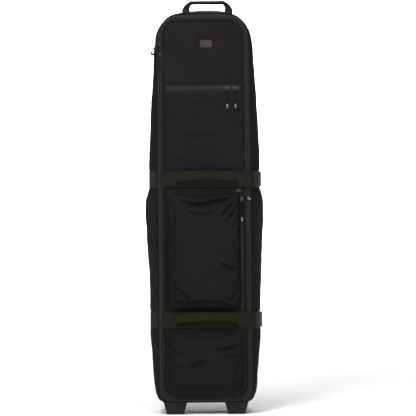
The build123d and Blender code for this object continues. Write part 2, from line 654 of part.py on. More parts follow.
RIDGE_HALF = 7.0          # half depth of the anchors' ridge, which lets the handle lean either way
RIDGE_DROP = 11.0
RIDGE_GAP = 0.8
TAB_THICK = 2.0
TAB_FRONT = -126.0
TAB_LENGTH = 27.0
TAB_LOW_Z = 1200.0
TAB_TOP_Z = HANDLE_PIVOT_Z - 1.6   # low enough for the webbing to lean over the tabs
LEG_WIDTH = LEG_OUTER - LEG_INNER
with BuildPart() as top_handle_anchors:
    add(case_solid(-TAB_THICK))
    with BuildSketch(Plane.XY.offset(TAB_LOW_Z)):
        for side in (-1, 1):
            with Locations((HANDLE_X + side * (LEG_INNER + LEG_WIDTH / 2), TAB_FRONT + TAB_LENGTH / 2)):
                Rectangle(LEG_WIDTH, TAB_LENGTH)
    extrude(amount=TAB_TOP_Z - TAB_LOW_Z, mode=Mode.INTERSECT)
    for start in (HANDLE_X - LEG_OUTER, HANDLE_X + LEG_INNER):
        with BuildSketch(Plane.YZ.offset(start)):
            with BuildLine():
                Polyline((HANDLE_Y, HANDLE_PIVOT_Z - RIDGE_GAP),
                         (HANDLE_Y + RIDGE_HALF, HANDLE_PIVOT_Z - RIDGE_DROP),
                         (HANDLE_Y - RIDGE_HALF, HANDLE_PIVOT_Z - RIDGE_DROP), close=True)
            make_face()
        extrude(amount=LEG_WIDTH)
    add(OUTER, mode=Mode.SUBTRACT)
save(top_handle_anchors, "top_handle_anchors")


# ---- wheels, housings, feet and skids --------------------------------------------------------
WHEEL_CENTRE = (AXLE_Y, WHEEL_R)
TREAD = 11.0              # depth of the rubber
HUB_SHY = 1.0             # the hub stays this far inside the tyre's faces
HUB_HALF = WHEEL_WIDTH / 2 - HUB_SHY
HUB_POCKET_RING = 18.6
HUB_POCKET_R = 4.2
HUB_POCKET_DEPTH = 6.0
HOUSING_PLATE = 3.0
HOUSING_HALF = WHEEL_WIDTH / 2 + 2.0
HOUSING_FLANGE = 12.0     # the mounting plate runs out this far beside the cheeks
AXLE_HALF = HOUSING_HALF + HOUSING_PLATE + 0.1
AXLE_HEAD_R = 7.5
AXLE_HEAD_THICK = 4.0
FOOT_TOP_WIDTH = 73.0
FOOT_TOP_DEPTH = 52.0
FOOT_SOLE_WIDTH = 50.0
FOOT_SOLE_DEPTH = 40.0
FOOT_PLATE = 6.0          # what is left of the foot above a screw's well
SCREW_WELL_R = 5.0


def on_cut(share, drop=0.3):
    """A side-view point on the slanted lower back corner of the case, share of the way up it."""
    run = (CUT_END[0] - CUT_START[0], CUT_END[1] - CUT_START[1])
    length = (run[0] ** 2 + run[1] ** 2) ** 0.5
    return (CUT_START[0] + share * run[0] + drop * run[1] / length,
            CUT_START[1] + share * run[1] - drop * run[0] / length)


for side, side_name in ((-1, "left"), (1, "right")):
    x_mid = side * WHEEL_X
    with BuildPart() as tyre:
        with BuildSketch(Plane.YZ.offset(x_mid - WHEEL_WIDTH / 2)):
            with Locations(WHEEL_CENTRE):
                Circle(WHEEL_R)
                Circle(WHEEL_R - TREAD, mode=Mode.SUBTRACT)
        extrude(amount=WHEEL_WIDTH)
        fillet(tyre.edges().filter_by(GeomType.CIRCLE).sort_by(SortBy.RADIUS)[-2:], 7)
    save(tyre, f"tyre_{side_name}")

    with BuildPart() as hub:
        with BuildSketch(Plane.YZ.offset(x_mid - HUB_HALF)):
            with Locations(WHEEL_CENTRE):
                Circle(WHEEL_R - TREAD)
                Circle(AXLE_R + 1.5, mode=Mode.SUBTRACT)
        extrude(amount=2 * HUB_HALF)
        for plane_x, direction in ((x_mid - HUB_HALF, 1), (x_mid + HUB_HALF, -1)):
            with BuildSketch(Plane.YZ.offset(plane_x)):
                with Locations(WHEEL_CENTRE):
                    Circle(BEARING_R)
            extrude(amount=direction * BEARING_WIDTH, mode=Mode.SUBTRACT)
            with BuildSketch(Plane.YZ.offset(plane_x)):
                with Locations(WHEEL_CENTRE):
                    with PolarLocations(HUB_POCKET_RING, 5):
                        Circle(HUB_POCKET_R)
            extrude(amount=direction * HUB_POCKET_DEPTH, mode=Mode.SUBTRACT)
    save(hub, f"hub_{side_name}")

    with BuildPart() as bearings:
        for plane_x, direction in ((x_mid - HUB_HALF, 1), (x_mid + HUB_HALF, -1)):
            with BuildSketch(Plane.YZ.offset(plane_x)):
                with Locations(WHEEL_CENTRE):
                    Circle(BEARING_R)
                    Circle(AXLE_R + RUNNING_FIT, mode=Mode.SUBTRACT)
            extrude(amount=direction * BEARING_WIDTH)
    save(bearings, f"bearings_{side_name}")

    with BuildPart() as axle:
        with BuildSketch(Plane.YZ.offset(x_mid - AXLE_HALF)):
            with Locations(WHEEL_CENTRE):
                Circle(AXLE_R)
        extrude(amount=2 * AXLE_HALF)
        for direction in (-1, 1):
            with BuildSketch(Plane.YZ.offset(x_mid + direction * AXLE_HALF)):
                with Locations(WHEEL_CENTRE):
                    RegularPolygon(AXLE_HEAD_R, 6)
            extrude(amount=direction * AXLE_HEAD_THICK)
        fillet(axle.faces().sort_by(Axis.X)[0].edges(), 0.8)
    save(axle, f"axle_{side_name}")

    with BuildPart() as housing:
        for plane_x in (x_mid - HOUSING_HALF - HOUSING_PLATE, x_mid + HOUSING_HALF):
            with BuildSketch(Plane.YZ.offset(plane_x)):
                with BuildLine():
                    Polyline(on_cut(0.1), on_cut(0.93), (AXLE_Y + 14, WHEEL_R + 4),
                             (AXLE_Y + 11, WHEEL_R - 12), (AXLE_Y - 11, WHEEL_R - 14), close=True)
                make_face()
                with Locations(WHEEL_CENTRE):
                    Circle(AXLE_R + 0.1, mode=Mode.SUBTRACT)
            extrude(amount=HOUSING_PLATE)
        with BuildSketch(Plane.YZ.offset(x_mid - HOUSING_HALF - HOUSING_FLANGE)):
            with BuildLine():
                Polyline(on_cut(0.04), on_cut(0.97), on_cut(0.97, HOUSING_PLATE), on_cut(0.04, HOUSING_PLATE),
                         close=True)
            make_face()
        extrude(amount=2 * (HOUSING_HALF + HOUSING_FLANGE))
    save(housing, f"wheel_housing_{side_name}")

    foot_screws = [place for place in SCREW_PLACES if place[0] * side > 0]
    with BuildPart() as foot:
        with BuildSketch(Plane.XY.offset(BASE_Z)):
            with Locations((side * FOOT_X, FOOT_Y)):
                RectangleRounded(FOOT_TOP_WIDTH, FOOT_TOP_DEPTH, 8)
        with BuildSketch(Plane.XY):
            with Locations((side * FOOT_X, FOOT_Y)):
                RectangleRounded(FOOT_SOLE_WIDTH, FOOT_SOLE_DEPTH, 6)
        loft()
        with BuildSketch(Plane.XY):
            with Locations(*foot_screws):
                Circle(SCREW_WELL_R)
        extrude(amount=BASE_Z - FOOT_PLATE, mode=Mode.SUBTRACT)
        with BuildSketch(Plane.XY):
            with Locations(*foot_screws):
                Circle(SCREW_R + SCREW_CLEARANCE)
        extrude(amount=BASE_Z, mode=Mode.SUBTRACT)
    save(foot, f"foot_{side_name}")

BOARD_THICK = 4.0
BOARD_WIDTH = 222.0
BOARD_DEPTH = 196.0
BOARD_Y = -20.0
SCREW_PATCH = 22.0
with BuildPart() as base_board:
    with BuildSketch(Plane.XY.offset(BASE_Z + WALL)):
        with Locations((0, BOARD_Y)):
            RectangleRounded(BOARD_WIDTH, BOARD_DEPTH, 12)
        with Locations(*SCREW_PLACES):
            RectangleRounded(SCREW_PATCH, SCREW_PATCH, 4)
            Circle(SCREW_R + SCREW_CLEARANCE, mode=Mode.SUBTRACT)
    extrude(amount=BOARD_THICK)
save(base_board, "base_board")

SCREW_HEAD_R = 4.3
SCREW_HEAD_THICK = 2.6
SCREW_SPARE = 2.0         # the screws stick out this far above the board
with BuildPart() as base_screws:
    with BuildSketch(Plane.XY.offset(BASE_Z - FOOT_PLATE - SCREW_HEAD_THICK)):
        with Locations(*SCREW_PLACES):
            Circle(SCREW_HEAD_R)
    extrude(amount=SCREW_HEAD_THICK)
    with BuildSketch(Plane.XY.offset(BASE_Z - FOOT_PLATE)):
        with Locations(*SCREW_PLACES):
            Circle(SCREW_R)
    extrude(amount=FOOT_PLATE + WALL + BOARD_THICK + SCREW_SPARE)
save(base_screws, "base_screws")

RAIL_X = 52.0
RAIL_Z = 290.0
RAIL_WIDTH = 20.0
RAIL_LENGTH = 300.0
RAIL_DEPTH = 7.0
with BuildPart() as skid_rails:
    with BuildSketch(Plane.XZ.offset(-BACK_Y - RAIL_DEPTH)):
        with Locations((-RAIL_X, RAIL_Z), (RAIL_X, RAIL_Z)):
            RectangleRounded(RAIL_WIDTH, RAIL_LENGTH, 9)
    extrude(amount=RAIL_DEPTH)
    chamfer(skid_rails.faces().sort_by(Axis.Y)[-2:].edges(), 2.5)
save(skid_rails, "skid_rails")


# ---- inside: hood padding, back stiffener, golf bag straps ---------------------------------------
PADDING = 12.0
PADDING_LOW_Z = 880.0
with BuildPart() as hood_padding:
    add(case_solid(WALL + SKIN_GAP))
    add(slab(WIDE, (-108, 150), (PADDING_LOW_Z, 1400)), mode=Mode.INTERSECT)
    add(case_solid(WALL + PADDING), mode=Mode.SUBTRACT)
save(hood_padding, "hood_padding")

STIFFENER_THICK = 3.0
STIFFENER_WIDTH = 210.0
STIFFENER_HEIGHT = 720.0
STIFFENER_Z = 500.0
STIFFENER_Y = BACK_Y - WALL - SKIN_GAP - STIFFENER_THICK
with BuildPart() as back_stiffener:
    with BuildSketch(Plane.XZ.offset(-STIFFENER_Y - STIFFENER_THICK)):
        with Locations((0, STIFFENER_Z)):
            RectangleRounded(STIFFENER_WIDTH, STIFFENER_HEIGHT, 20)
    extrude(amount=STIFFENER_THICK)
save(back_stiffener, "back_stiffener")

INNER_STRAP_LEVELS = (360.0, 700.0)
INNER_STRAP_X = 64.0
INNER_STRAP_LENGTH = 70.0
INNER_STRAP_WIDTH = 38.0
INNER_STRAP_THICK = 2.2
with BuildPart() as inner_straps:
    with BuildSketch(Plane.XZ.offset(-STIFFENER_Y)):
        for z_level in INNER_STRAP_LEVELS:
            with Locations((-INNER_STRAP_X, z_level), (INNER_STRAP_X, z_level)):
                Rectangle(INNER_STRAP_LENGTH, INNER_STRAP_WIDTH)
    extrude(amount=INNER_STRAP_THICK)
save(inner_straps, "inner_straps")

INNER_BUCKLE_WIDTH = 56.0
INNER_BUCKLE_HEIGHT = 46.0
INNER_BUCKLE_THICK = 10.0
with BuildPart() as inner_buckles:
    with BuildSketch(Plane.XZ.offset(-STIFFENER_Y)):
        for z_level in INNER_STRAP_LEVELS:
            with Locations((0, z_level)):
                RectangleRounded(INNER_BUCKLE_WIDTH, INNER_BUCKLE_HEIGHT, 6)
    extrude(amount=INNER_BUCKLE_THICK)
    fillet(inner_buckles.faces().sort_by(Axis.Y)[:2].edges(), 2)
save(inner_buckles, "inner_buckles")
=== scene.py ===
"""Looks of a soft upright golf travel case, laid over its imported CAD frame. Metres, +Z up, front to -Y."""
import json
import math
import random

import bmesh
import bpy
import numpy as np
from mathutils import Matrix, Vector, noise


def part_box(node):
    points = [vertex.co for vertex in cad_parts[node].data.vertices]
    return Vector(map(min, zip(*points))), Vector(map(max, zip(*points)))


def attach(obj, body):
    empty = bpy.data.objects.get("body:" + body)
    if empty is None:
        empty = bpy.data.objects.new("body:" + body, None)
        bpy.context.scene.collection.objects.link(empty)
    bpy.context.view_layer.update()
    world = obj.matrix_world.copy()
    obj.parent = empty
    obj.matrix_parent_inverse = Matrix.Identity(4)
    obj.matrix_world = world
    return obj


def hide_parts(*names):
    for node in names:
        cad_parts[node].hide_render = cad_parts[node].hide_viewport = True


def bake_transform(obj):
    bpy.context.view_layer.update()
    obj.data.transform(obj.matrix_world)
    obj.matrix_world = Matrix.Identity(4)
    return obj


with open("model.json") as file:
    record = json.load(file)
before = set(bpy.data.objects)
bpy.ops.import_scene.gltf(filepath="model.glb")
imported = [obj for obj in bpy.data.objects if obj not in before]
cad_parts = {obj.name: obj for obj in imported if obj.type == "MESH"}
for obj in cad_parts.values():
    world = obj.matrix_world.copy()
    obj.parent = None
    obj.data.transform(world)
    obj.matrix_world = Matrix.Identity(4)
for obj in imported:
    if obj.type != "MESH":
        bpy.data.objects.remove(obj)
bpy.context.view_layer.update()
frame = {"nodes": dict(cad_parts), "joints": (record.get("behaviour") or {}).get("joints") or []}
random.seed(7)

CASE = "case"
DOOR = "front_door"


# ---- sizes read from the frame ----------------------------------------------------------------
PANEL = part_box("lid_panel")
PANEL_Y = PANEL[0][1]                       # outer face of the door
PART_Y = PANEL[1][1]                        # where the door meets the case
BEVEL = PART_Y - PANEL_Y
HINGE_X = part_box("lid_piping")[0][0] - 0.0005
DOOR_LOW = PANEL[0][2] + BEVEL
DOOR_HIGH = PANEL[1][2] - BEVEL
DOOR_RIGHT_LOW = PANEL[1][0] - BEVEL
DOOR_RIGHT_HIGH = DOOR_RIGHT_LOW - 0.008
BACK_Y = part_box("back_panel")[1][1]
BASE_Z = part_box("base_panel")[0][2]
TOP_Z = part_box("top_panel")[1][2]
STRAP_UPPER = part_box("strap_upper_front")
STRAP_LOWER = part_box("strap_lower_front")
UPPER_Z = (STRAP_UPPER[0][2] + STRAP_UPPER[1][2]) / 2
LOWER_Z = (STRAP_LOWER[0][2] + STRAP_LOWER[1][2]) / 2
CORNER_LOW = 0.040                          # radii of the door's rounded corners
CORNER_HIGH = 0.045
WEB_THICK = 0.0022
UP = (0, 0, 1)
FORWARD = (0, -1, 0)


# ---- small maths -------------------------------------------------------------------------------
def smooth_curve(points):
    """A function through (t, value) points with flat-limited slopes, so it never overshoots."""
    t = np.array([p[0] for p in points], float)
    v = np.array([p[1] for p in points], float)
    step = np.diff(t)
    slope = np.diff(v) / step
    tangent = np.zeros_like(v)
    tangent[0] = slope[0]
    tangent[-1] = slope[-1]
    both = slope[:-1] * slope[1:]
    tangent[1:-1] = np.where(both > 0, 2 * both / (slope[:-1] + slope[1:] + 1e-12), 0)

    def value(at):
        at = np.clip(np.asarray(at, float), t[0], t[-1])
        k = np.clip(np.searchsorted(t, at, side="right") - 1, 0, len(t) - 2)
        u = (at - t[k]) / step[k]
        return ((1 + 2 * u) * (1 - u) ** 2 * v[k] + u * (1 - u) ** 2 * step[k] * tangent[k]
                + u * u * (3 - 2 * u) * v[k + 1] + u * u * (u - 1) * step[k] * tangent[k + 1])
    return value


def smooth_max(*values, soft=0.006):
    """Largest of several fields, with its corners rounded over about soft."""
    stack = np.stack(np.broadcast_arrays(*values))
    top = stack.max(axis=0)
    return top + soft * np.log(np.exp((stack - top) / soft).sum(axis=0))


def wave_noise(points, scale, seed):
    """Perlin noise sampled at 3-D points."""
    shift = Vector((seed * 3.1, seed * 7.7, seed * 1.3))
    return np.array([noise.noise(Vector(p) * scale + shift) for p in points])


def bump_window(value, low, high, soft):
    """1 between low and high, fading to 0 over soft outside."""
    return np.clip((value - low) / soft + 1, 0, 1) * np.clip((high - value) / soft + 1, 0, 1)


# ---- materials ---------------------------------------------------------------------------------
def new_material(name, roughness, **sockets):
    """A material with one Principled shader, and the tree and shader to build on."""
    material = bpy.data.materials.new(name)
    material.use_nodes = True
    tree = material.node_tree
    shader = tree.nodes["Principled BSDF"]
    shader.inputs["Roughness"].default_value = roughness
    for socket, value in sockets.items():
        shader.inputs[socket.replace("_", " ")].default_value = value
    return material, tree, shader


def mix_colour(tree, factor, dark, light):
    """A colour between two, chosen by a socket."""
    mix = tree.nodes.new("ShaderNodeMix")
    mix.data_type = "RGBA"
    tree.links.new(factor, mix.inputs["Factor"])
    mix.inputs["A"].default_value = (*dark, 1)
    mix.inputs["B"].default_value = (*light, 1)
    return mix.outputs["Result"]


def maths(tree, operation, a, b=None):
    """A maths node with its inputs linked or set."""
    node = tree.nodes.new("ShaderNodeMath")
    node.operation = operation
    for socket, value in zip(node.inputs, (a, b)):
        if value is None:
            continue
        if isinstance(value, (int, float)):
            socket.default_value = value
        else:
            tree.links.new(value, socket)
    return node.outputs[0]


def noise_field(tree, vector, scale, detail=3.0, roughness=0.5):
    """A noise texture on a vector."""
    node = tree.nodes.new("ShaderNodeTexNoise")
    node.inputs["Scale"].default_value = scale
    node.inputs["Detail"].default_value = detail
    node.inputs["Roughness"].default_value = roughness
    tree.links.new(vector, node.inputs["Vector"])
    return node.outputs["Fac"]


def bands(tree, vector, scale, direction, distortion=0.0):
    """Stripes along one direction of a vector."""
    node = tree.nodes.new("ShaderNodeTexWave")
    node.bands_direction = direction
    node.inputs["Scale"].default_value = scale
    node.inputs["Distortion"].default_value = distortion
    tree.links.new(vector, node.inputs["Vector"])
    return node.outputs["Fac"]


def bump(tree, shader, height, strength, distance):
    """A bump node fed by a height."""
    node = tree.nodes.new("ShaderNodeBump")
    node.inputs["Strength"].default_value = strength
    node.inputs["Distance"].default_value = distance
    tree.links.new(height, node.inputs["Height"])
    tree.links.new(node.outputs["Normal"], shader.inputs["Normal"])


def uv_vector(tree):
    """The mesh's own UVs."""
    return tree.nodes.new("ShaderNodeUVMap").outputs["UV"]


def object_vector(tree):
    """Object coordinates."""
    return tree.nodes.new("ShaderNodeTexCoord").outputs["Object"]


WAVE_PER_METRE = 0.05 * math.pi * 2        # a wave texture of scale s has s / this bands a metre


def woven(name, dark, light, pitch, rough, sheen, strength, ripstop=0.0):
    """Plain-woven cloth: crossed yarns, a faint ripstop grid, and slow colour drift."""
    material, tree, shader = new_material(name, rough, Sheen_Weight=sheen, Sheen_Roughness=0.45,
                                          Specular_IOR_Level=0.5, IOR=1.09)
    uv = uv_vector(tree)
    scale = WAVE_PER_METRE / pitch
    warp = bands(tree, uv, scale, "X", 0.15)
    weft = bands(tree, uv, scale * 0.8, "Y", 0.15)
    yarn = maths(tree, "MAXIMUM", warp, weft)
    drift = noise_field(tree, object_vector(tree), 9.0, 4.0)
    fleck = noise_field(tree, uv, 900.0, 2.0)
    tone = maths(tree, "ADD", maths(tree, "MULTIPLY", drift, 0.55), maths(tree, "MULTIPLY", fleck, 0.35))
    height = maths(tree, "ADD", yarn, maths(tree, "MULTIPLY", fleck, 0.5))
    if ripstop:
        grid_x = maths(tree, "POWER", bands(tree, uv, WAVE_PER_METRE / ripstop, "X"), 14.0)
        grid_y = maths(tree, "POWER", bands(tree, uv, WAVE_PER_METRE / ripstop, "Y"), 14.0)
        grid = maths(tree, "MAXIMUM", grid_x, grid_y)
        tone = maths(tree, "ADD", tone, maths(tree, "MULTIPLY", grid, 0.25))
        height = maths(tree, "ADD", height, grid)
    tree.links.new(mix_colour(tree, tone, dark, light), shader.inputs["Base Color"])
    bump(tree, shader, height, strength, pitch * 0.35)
    return material


def webbing_material(name, dark, light, pitch):
    """Herringbone webbing: UV x runs along the strap, UV y across it."""
    material, tree, shader = new_material(name, 0.68, Sheen_Weight=0.02, Sheen_Roughness=0.4,
                                          Specular_IOR_Level=0.5, IOR=1.09)
    uv = uv_vector(tree)
    split = tree.nodes.new("ShaderNodeSeparateXYZ")
    tree.links.new(uv, split.inputs[0])
    zigzag = maths(tree, "PINGPONG", split.outputs[1], pitch * 1.5)
    skew = maths(tree, "ADD", split.outputs[0], zigzag)
    combine = tree.nodes.new("ShaderNodeCombineXYZ")
    tree.links.new(skew, combine.inputs[0])
    tree.links.new(split.outputs[1], combine.inputs[1])
    twill = bands(tree, combine.outputs[0], WAVE_PER_METRE / pitch, "X", 0.1)
    rows = bands(tree, uv, WAVE_PER_METRE / (pitch * 1.2), "Y")
    fleck = noise_field(tree, uv, 1200.0, 2.0)
    drift = noise_field(tree, object_vector(tree), 22.0, 3.0)
    tone = maths(tree, "ADD", maths(tree, "MULTIPLY", twill, 0.4),
                 maths(tree, "ADD", maths(tree, "MULTIPLY", fleck, 0.3), maths(tree, "MULTIPLY", drift, 0.3)))
    tree.links.new(mix_colour(tree, tone, dark, light), shader.inputs["Base Color"])
    bump(tree, shader, maths(tree, "ADD", twill, maths(tree, "MULTIPLY", rows, 0.6)), 0.6, pitch * 0.4)
    return material


def moulded(name, dark, light, rough, grain=900.0, strength=0.15, coat=0.0):
    """Moulded plastic or rubber: fine grain, rubbed patches and a little colour drift."""
    material, tree, shader = new_material(name, rough, Coat_Weight=coat, Coat_Roughness=0.2,
                                          Specular_IOR_Level=0.5, IOR=1.25)
    vector = object_vector(tree)
    grains = noise_field(tree, vector, grain, 3.0)
    wear = noise_field(tree, vector, 45.0, 5.0, 0.65)
    tree.links.new(mix_colour(tree, wear, dark, light), shader.inputs["Base Color"])
    tree.links.new(maths(tree, "ADD", maths(tree, "MULTIPLY", wear, 0.22), rough - 0.1), shader.inputs["Roughness"])
    bump(tree, shader, grains, strength, 0.0006)
    return material


def metal(name, dark, light, rough):
    """A plated or enamelled metal."""
    material, tree, shader = new_material(name, rough, Metallic=1.0)
    vector = object_vector(tree)
    wear = noise_field(tree, vector, 260.0, 5.0, 0.7)
    tree.links.new(mix_colour(tree, wear, dark, light), shader.inputs["Base Color"])
    tree.links.new(maths(tree, "ADD", maths(tree, "MULTIPLY", wear, 0.25), rough - 0.1), shader.inputs["Roughness"])
    bump(tree, shader, noise_field(tree, vector, 2200.0, 2.0), 0.1, 0.0003)
    return material


FABRIC = woven("ripstop_black", (0.0041, 0.0035, 0.0038), (0.0135, 0.0119, 0.0127), 0.0016, 0.66, 0.0, 0.6, 0.006)
POCKET_FABRIC = woven("pocket_black", (0.0038, 0.0034, 0.0038), (0.0129, 0.0114, 0.0123), 0.0016, 0.64, 0.0, 0.6,
                      0.006)
# coated base cloth with a smoother weave; its darker colour is painted shade of the case's underside
BASE_SHADE_FABRIC = woven("coated_base_painted_shade", (0.0030, 0.0030, 0.0030), (0.0090, 0.0087, 0.0087), 0.0020, 0.6, 0.03, 0.5)
LINING = woven("lining_grey", (0.030, 0.030, 0.032), (0.075, 0.075, 0.080), 0.0009, 0.68, 0.2, 0.4)
PIPING = woven("piping_black", (0.0045, 0.0042, 0.0044), (0.014, 0.013, 0.0135), 0.0010, 0.5, 0.0, 0.5)
TAPE = woven("zip_tape", (0.0075, 0.0069, 0.0067), (0.0240, 0.0221, 0.0218), 0.0008, 0.66, 0.0, 0.5)
WEBBING = webbing_material("webbing_olive", (0.0053, 0.0049, 0.0032), (0.0192, 0.0179, 0.0121), 0.0022)
THREAD = woven("thread", (0.010, 0.0095, 0.008), (0.030, 0.028, 0.023), 0.0006, 0.6, 0.05, 0.3)
COIL = moulded("zip_coil", (0.006, 0.006, 0.006), (0.024, 0.023, 0.022), 0.42, 1500.0, 0.1, 0.2)
PLASTIC = moulded("buckle_plastic", (0.0035, 0.0035, 0.0037), (0.0095, 0.0095, 0.010), 0.46, 1400.0, 0.12)
HOUSING = moulded("housing_plastic", (0.0055, 0.0055, 0.0057), (0.0155, 0.0155, 0.016), 0.5, 1100.0, 0.3)
FOOT_RUBBER = moulded("foot_rubber", (0.0045, 0.0043, 0.0034), (0.0122, 0.0117, 0.0094), 0.62, 800.0, 0.35)
TYRE = moulded("tyre_urethane", (0.014, 0.014, 0.014), (0.034, 0.034, 0.034), 0.55, 700.0, 0.3)
HUB = moulded("hub_plastic", (0.030, 0.030, 0.032), (0.070, 0.070, 0.072), 0.35, 1000.0, 0.1, 0.3)
BOARD = moulded("board_plastic", (0.020, 0.020, 0.021), (0.045, 0.045, 0.046), 0.55, 500.0, 0.4)
# the pale grey of the cord pulls' tips is a painted highlight of their glossy ends
TIP_HIGHLIGHT_RUBBER = moulded("pull_tip_painted_highlight", (0.060, 0.060, 0.058), (0.14, 0.14, 0.136), 0.34, 900.0, 0.1, 0.3)
BADGE = moulded("badge_brown", (0.022, 0.0130, 0.0095), (0.052, 0.033, 0.025), 0.45, 900.0, 0.2, 0.1)
STEEL = metal("zinc_steel", (0.38, 0.38, 0.38), (0.62, 0.62, 0.61), 0.34)
ENAMEL = moulded("slider_enamel", (0.012, 0.012, 0.012), (0.060, 0.058, 0.056), 0.3, 1600.0, 0.06, 0.5)


# ---- mesh helpers --------------------------------------------------------------------------------
def piece(name, verts, faces, materials, body, replaces=(), uvs=None, face_materials=None, solid=True):
    """A mesh object in the case's frame, riding on a body; uvs is one (u, v) in metres per vertex."""
    mesh = bpy.data.meshes.new(name)
    mesh.from_pydata([tuple(v) for v in verts], [], [tuple(f) for f in faces])
    for material in materials if isinstance(materials, (list, tuple)) else [materials]:
        mesh.materials.append(material)
    if uvs is not None:
        layer = mesh.uv_layers.new(name="UVMap")
        picks = np.zeros(len(mesh.loops), int)
        mesh.loops.foreach_get("vertex_index", picks)
        layer.data.foreach_set("uv", np.asarray(uvs, float)[picks].ravel())
    if face_materials is not None:
        mesh.polygons.foreach_set("material_index", np.asarray(face_materials, int))
    mesh.polygons.foreach_set("use_smooth", [True] * len(mesh.polygons))
    if solid:
        work = bmesh.new()
        work.from_mesh(mesh)
        bmesh.ops.recalc_face_normals(work, faces=work.faces)
        work.to_mesh(mesh)
        work.free()
    mesh.update()
    made = bpy.data.objects.new(name, mesh)
    bpy.context.scene.collection.objects.link(made)
    if body:
        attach(made, body)
    if replaces:
        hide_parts(*replaces)
    return made


def grid_faces(rows, columns, closed=False, offset=0):
    """Quads of a rows by columns grid of vertices; closed joins the last column to the first."""
    faces = []
    for r in range(rows - 1):
        for c in range(columns if closed else columns - 1):
            d = (c + 1) % columns
            quad = (offset + r * columns + c, offset + r * columns + d,
                    offset + (r + 1) * columns + d, offset + (r + 1) * columns + c)
            faces.append(quad[::-1] if closed else quad)
    return faces


def add_modifier(made, kind, **settings):
    """Put a modifier on a piece and set its values."""
    modifier = made.modifiers.new(kind.lower(), kind)
    for key, value in settings.items():
        setattr(modifier, key, value)
    return modifier


def run_along(path):
    """Distance from the start of a path to each of its points."""
    return np.concatenate([[0], np.cumsum(np.linalg.norm(np.diff(path, axis=0), axis=1))])


def unit(vectors):
    """Vectors scaled to length 1."""
    return vectors / np.linalg.norm(vectors, axis=-1, keepdims=True)


def end_caps(count, sides, start=0):
    """The two end faces of a tube of count rings."""
    last = start + (count - 1) * sides
    return [tuple(start + j for j in reversed(range(sides))), tuple(last + j for j in range(sides))]


def resample(path, step):
    """Points evenly spaced along a polyline."""
    path = np.asarray(path, float)
    run = run_along(path)
    count = max(int(run[-1] / step), 2)
    at = np.linspace(0, run[-1], count + 1)
    return np.stack([np.interp(at, run, path[:, k]) for k in range(3)], axis=1)


def rounded(path, step, passes):
    """A polyline resampled and relaxed so that its corners bend like cloth; its ends stay put."""
    path = resample(path, step)
    for _ in range(passes):
        path[1:-1] = 0.25 * path[:-2] + 0.5 * path[1:-1] + 0.25 * path[2:]
    return path


def tube(name, path, radius, material, body, sides=10, closed=False, replaces=(), ribs=0.0, pitch=0.003):
    """A round cord along a path; ribs swells it every pitch."""
    path = np.asarray(path, float)
    count = len(path)
    tangent = np.roll(path, -1, axis=0) - np.roll(path, 1, axis=0) if closed else np.gradient(path, axis=0)
    tangent = unit(tangent)
    side = unit(np.cross(tangent, (0.23, 0.41, 0.88)))
    over = np.cross(side, tangent)
    run = run_along(path)
    size = np.broadcast_to(np.asarray(radius, float), (count,)) * (1 + ribs * np.sin(run / pitch * 2 * math.pi))
    verts = []
    uvs = []
    for k in range(count):
        for j in range(sides):
            turn = 2 * math.pi * j / sides
            verts.append(path[k] + size[k] * (math.cos(turn) * side[k] + math.sin(turn) * over[k]))
            uvs.append((run[k], turn * float(size[k])))
    faces = grid_faces(count, sides, closed=True)
    if closed:
        last = (count - 1) * sides
        faces += [(last + j, last + (j + 1) % sides, (j + 1) % sides, j) for j in range(sides)]
    else:
        faces += end_caps(count, sides)
    return piece(name, verts, faces, material, body, replaces, uvs)


def ribbon(name, path, width, thick, across, material, body, replaces=()):
    """Webbing along a path. across is its width direction; width and thick may vary along it."""
    path = np.asarray(path, float)
    count = len(path)
    across = np.broadcast_to(np.asarray(across, float), path.shape)
    normal = unit(np.cross(unit(np.gradient(path, axis=0)), across))
    width = np.broadcast_to(np.asarray(width, float), (count,))
    thick = np.broadcast_to(np.asarray(thick, float), (count,))
    run = run_along(path)
    top = [(-0.5, 0.25), (-0.485, 0.47), (-0.46, 0.5), (-0.25, 0.5), (0, 0.5), (0.25, 0.5), (0.46, 0.5),
           (0.485, 0.47), (0.5, 0.25)]
    section = top + [(a, -t) for a, t in reversed(top)]
    verts = []
    uvs = []
    for k in range(count):
        for a, t in section:
            verts.append(path[k] + across[k] * a * width[k] + normal[k] * t * thick[k])
            uvs.append((run[k], a * width[k] + 0.1))
    sides = len(section)
    faces = grid_faces(count, sides, closed=True)
    faces += end_caps(count, sides)
    return piece(name, verts, faces, material, body, replaces, uvs)


def stitches(name, runs, body, length=0.0034, gap=0.0016, radius=0.00042):
    """Sewing thread: short raised stitches along each run of points."""
    verts = []
    faces = []
    uvs = []
    for run in runs:
        path = resample(run, (length + gap) / 2)
        for k in range(0, len(path) - 1, 2):
            a = path[k]
            b = a + (path[k + 1] - a) * (2 * length / (length + gap))
            axis = b - a
            axis /= np.linalg.norm(axis) + 1e-9
            side = unit(np.cross(axis, (0.13, 0.91, 0.39)))
            over = np.cross(axis, side)
            start = len(verts)
            for along, size in ((0, 0.35), (0.2, 1.0), (0.8, 1.0), (1, 0.35)):
                for j in range(6):
                    turn = j * math.pi / 3
                    spoke = math.cos(turn) * side + math.sin(turn) * over
                    verts.append(a + (b - a) * along + radius * size * spoke)
                    uvs.append((along * length, turn * radius))
            faces += grid_faces(4, 6, closed=True, offset=start)
            faces += end_caps(4, 6, start)
    return piece(name, verts, faces, THREAD, body, (), uvs)


def use_node(node, material, bevel=0.0, segments=3):
    """Finish a CAD node that keeps its shape."""
    made = frame["nodes"][node]
    for slot in made.material_slots:
        slot.material = material
    if not made.material_slots:
        made.data.materials.append(material)
    if bevel:
        add_modifier(made, "BEVEL", width=bevel, segments=segments, limit_method="ANGLE",
                     angle_limit=math.radians(38), harden_normals=False)
    return made


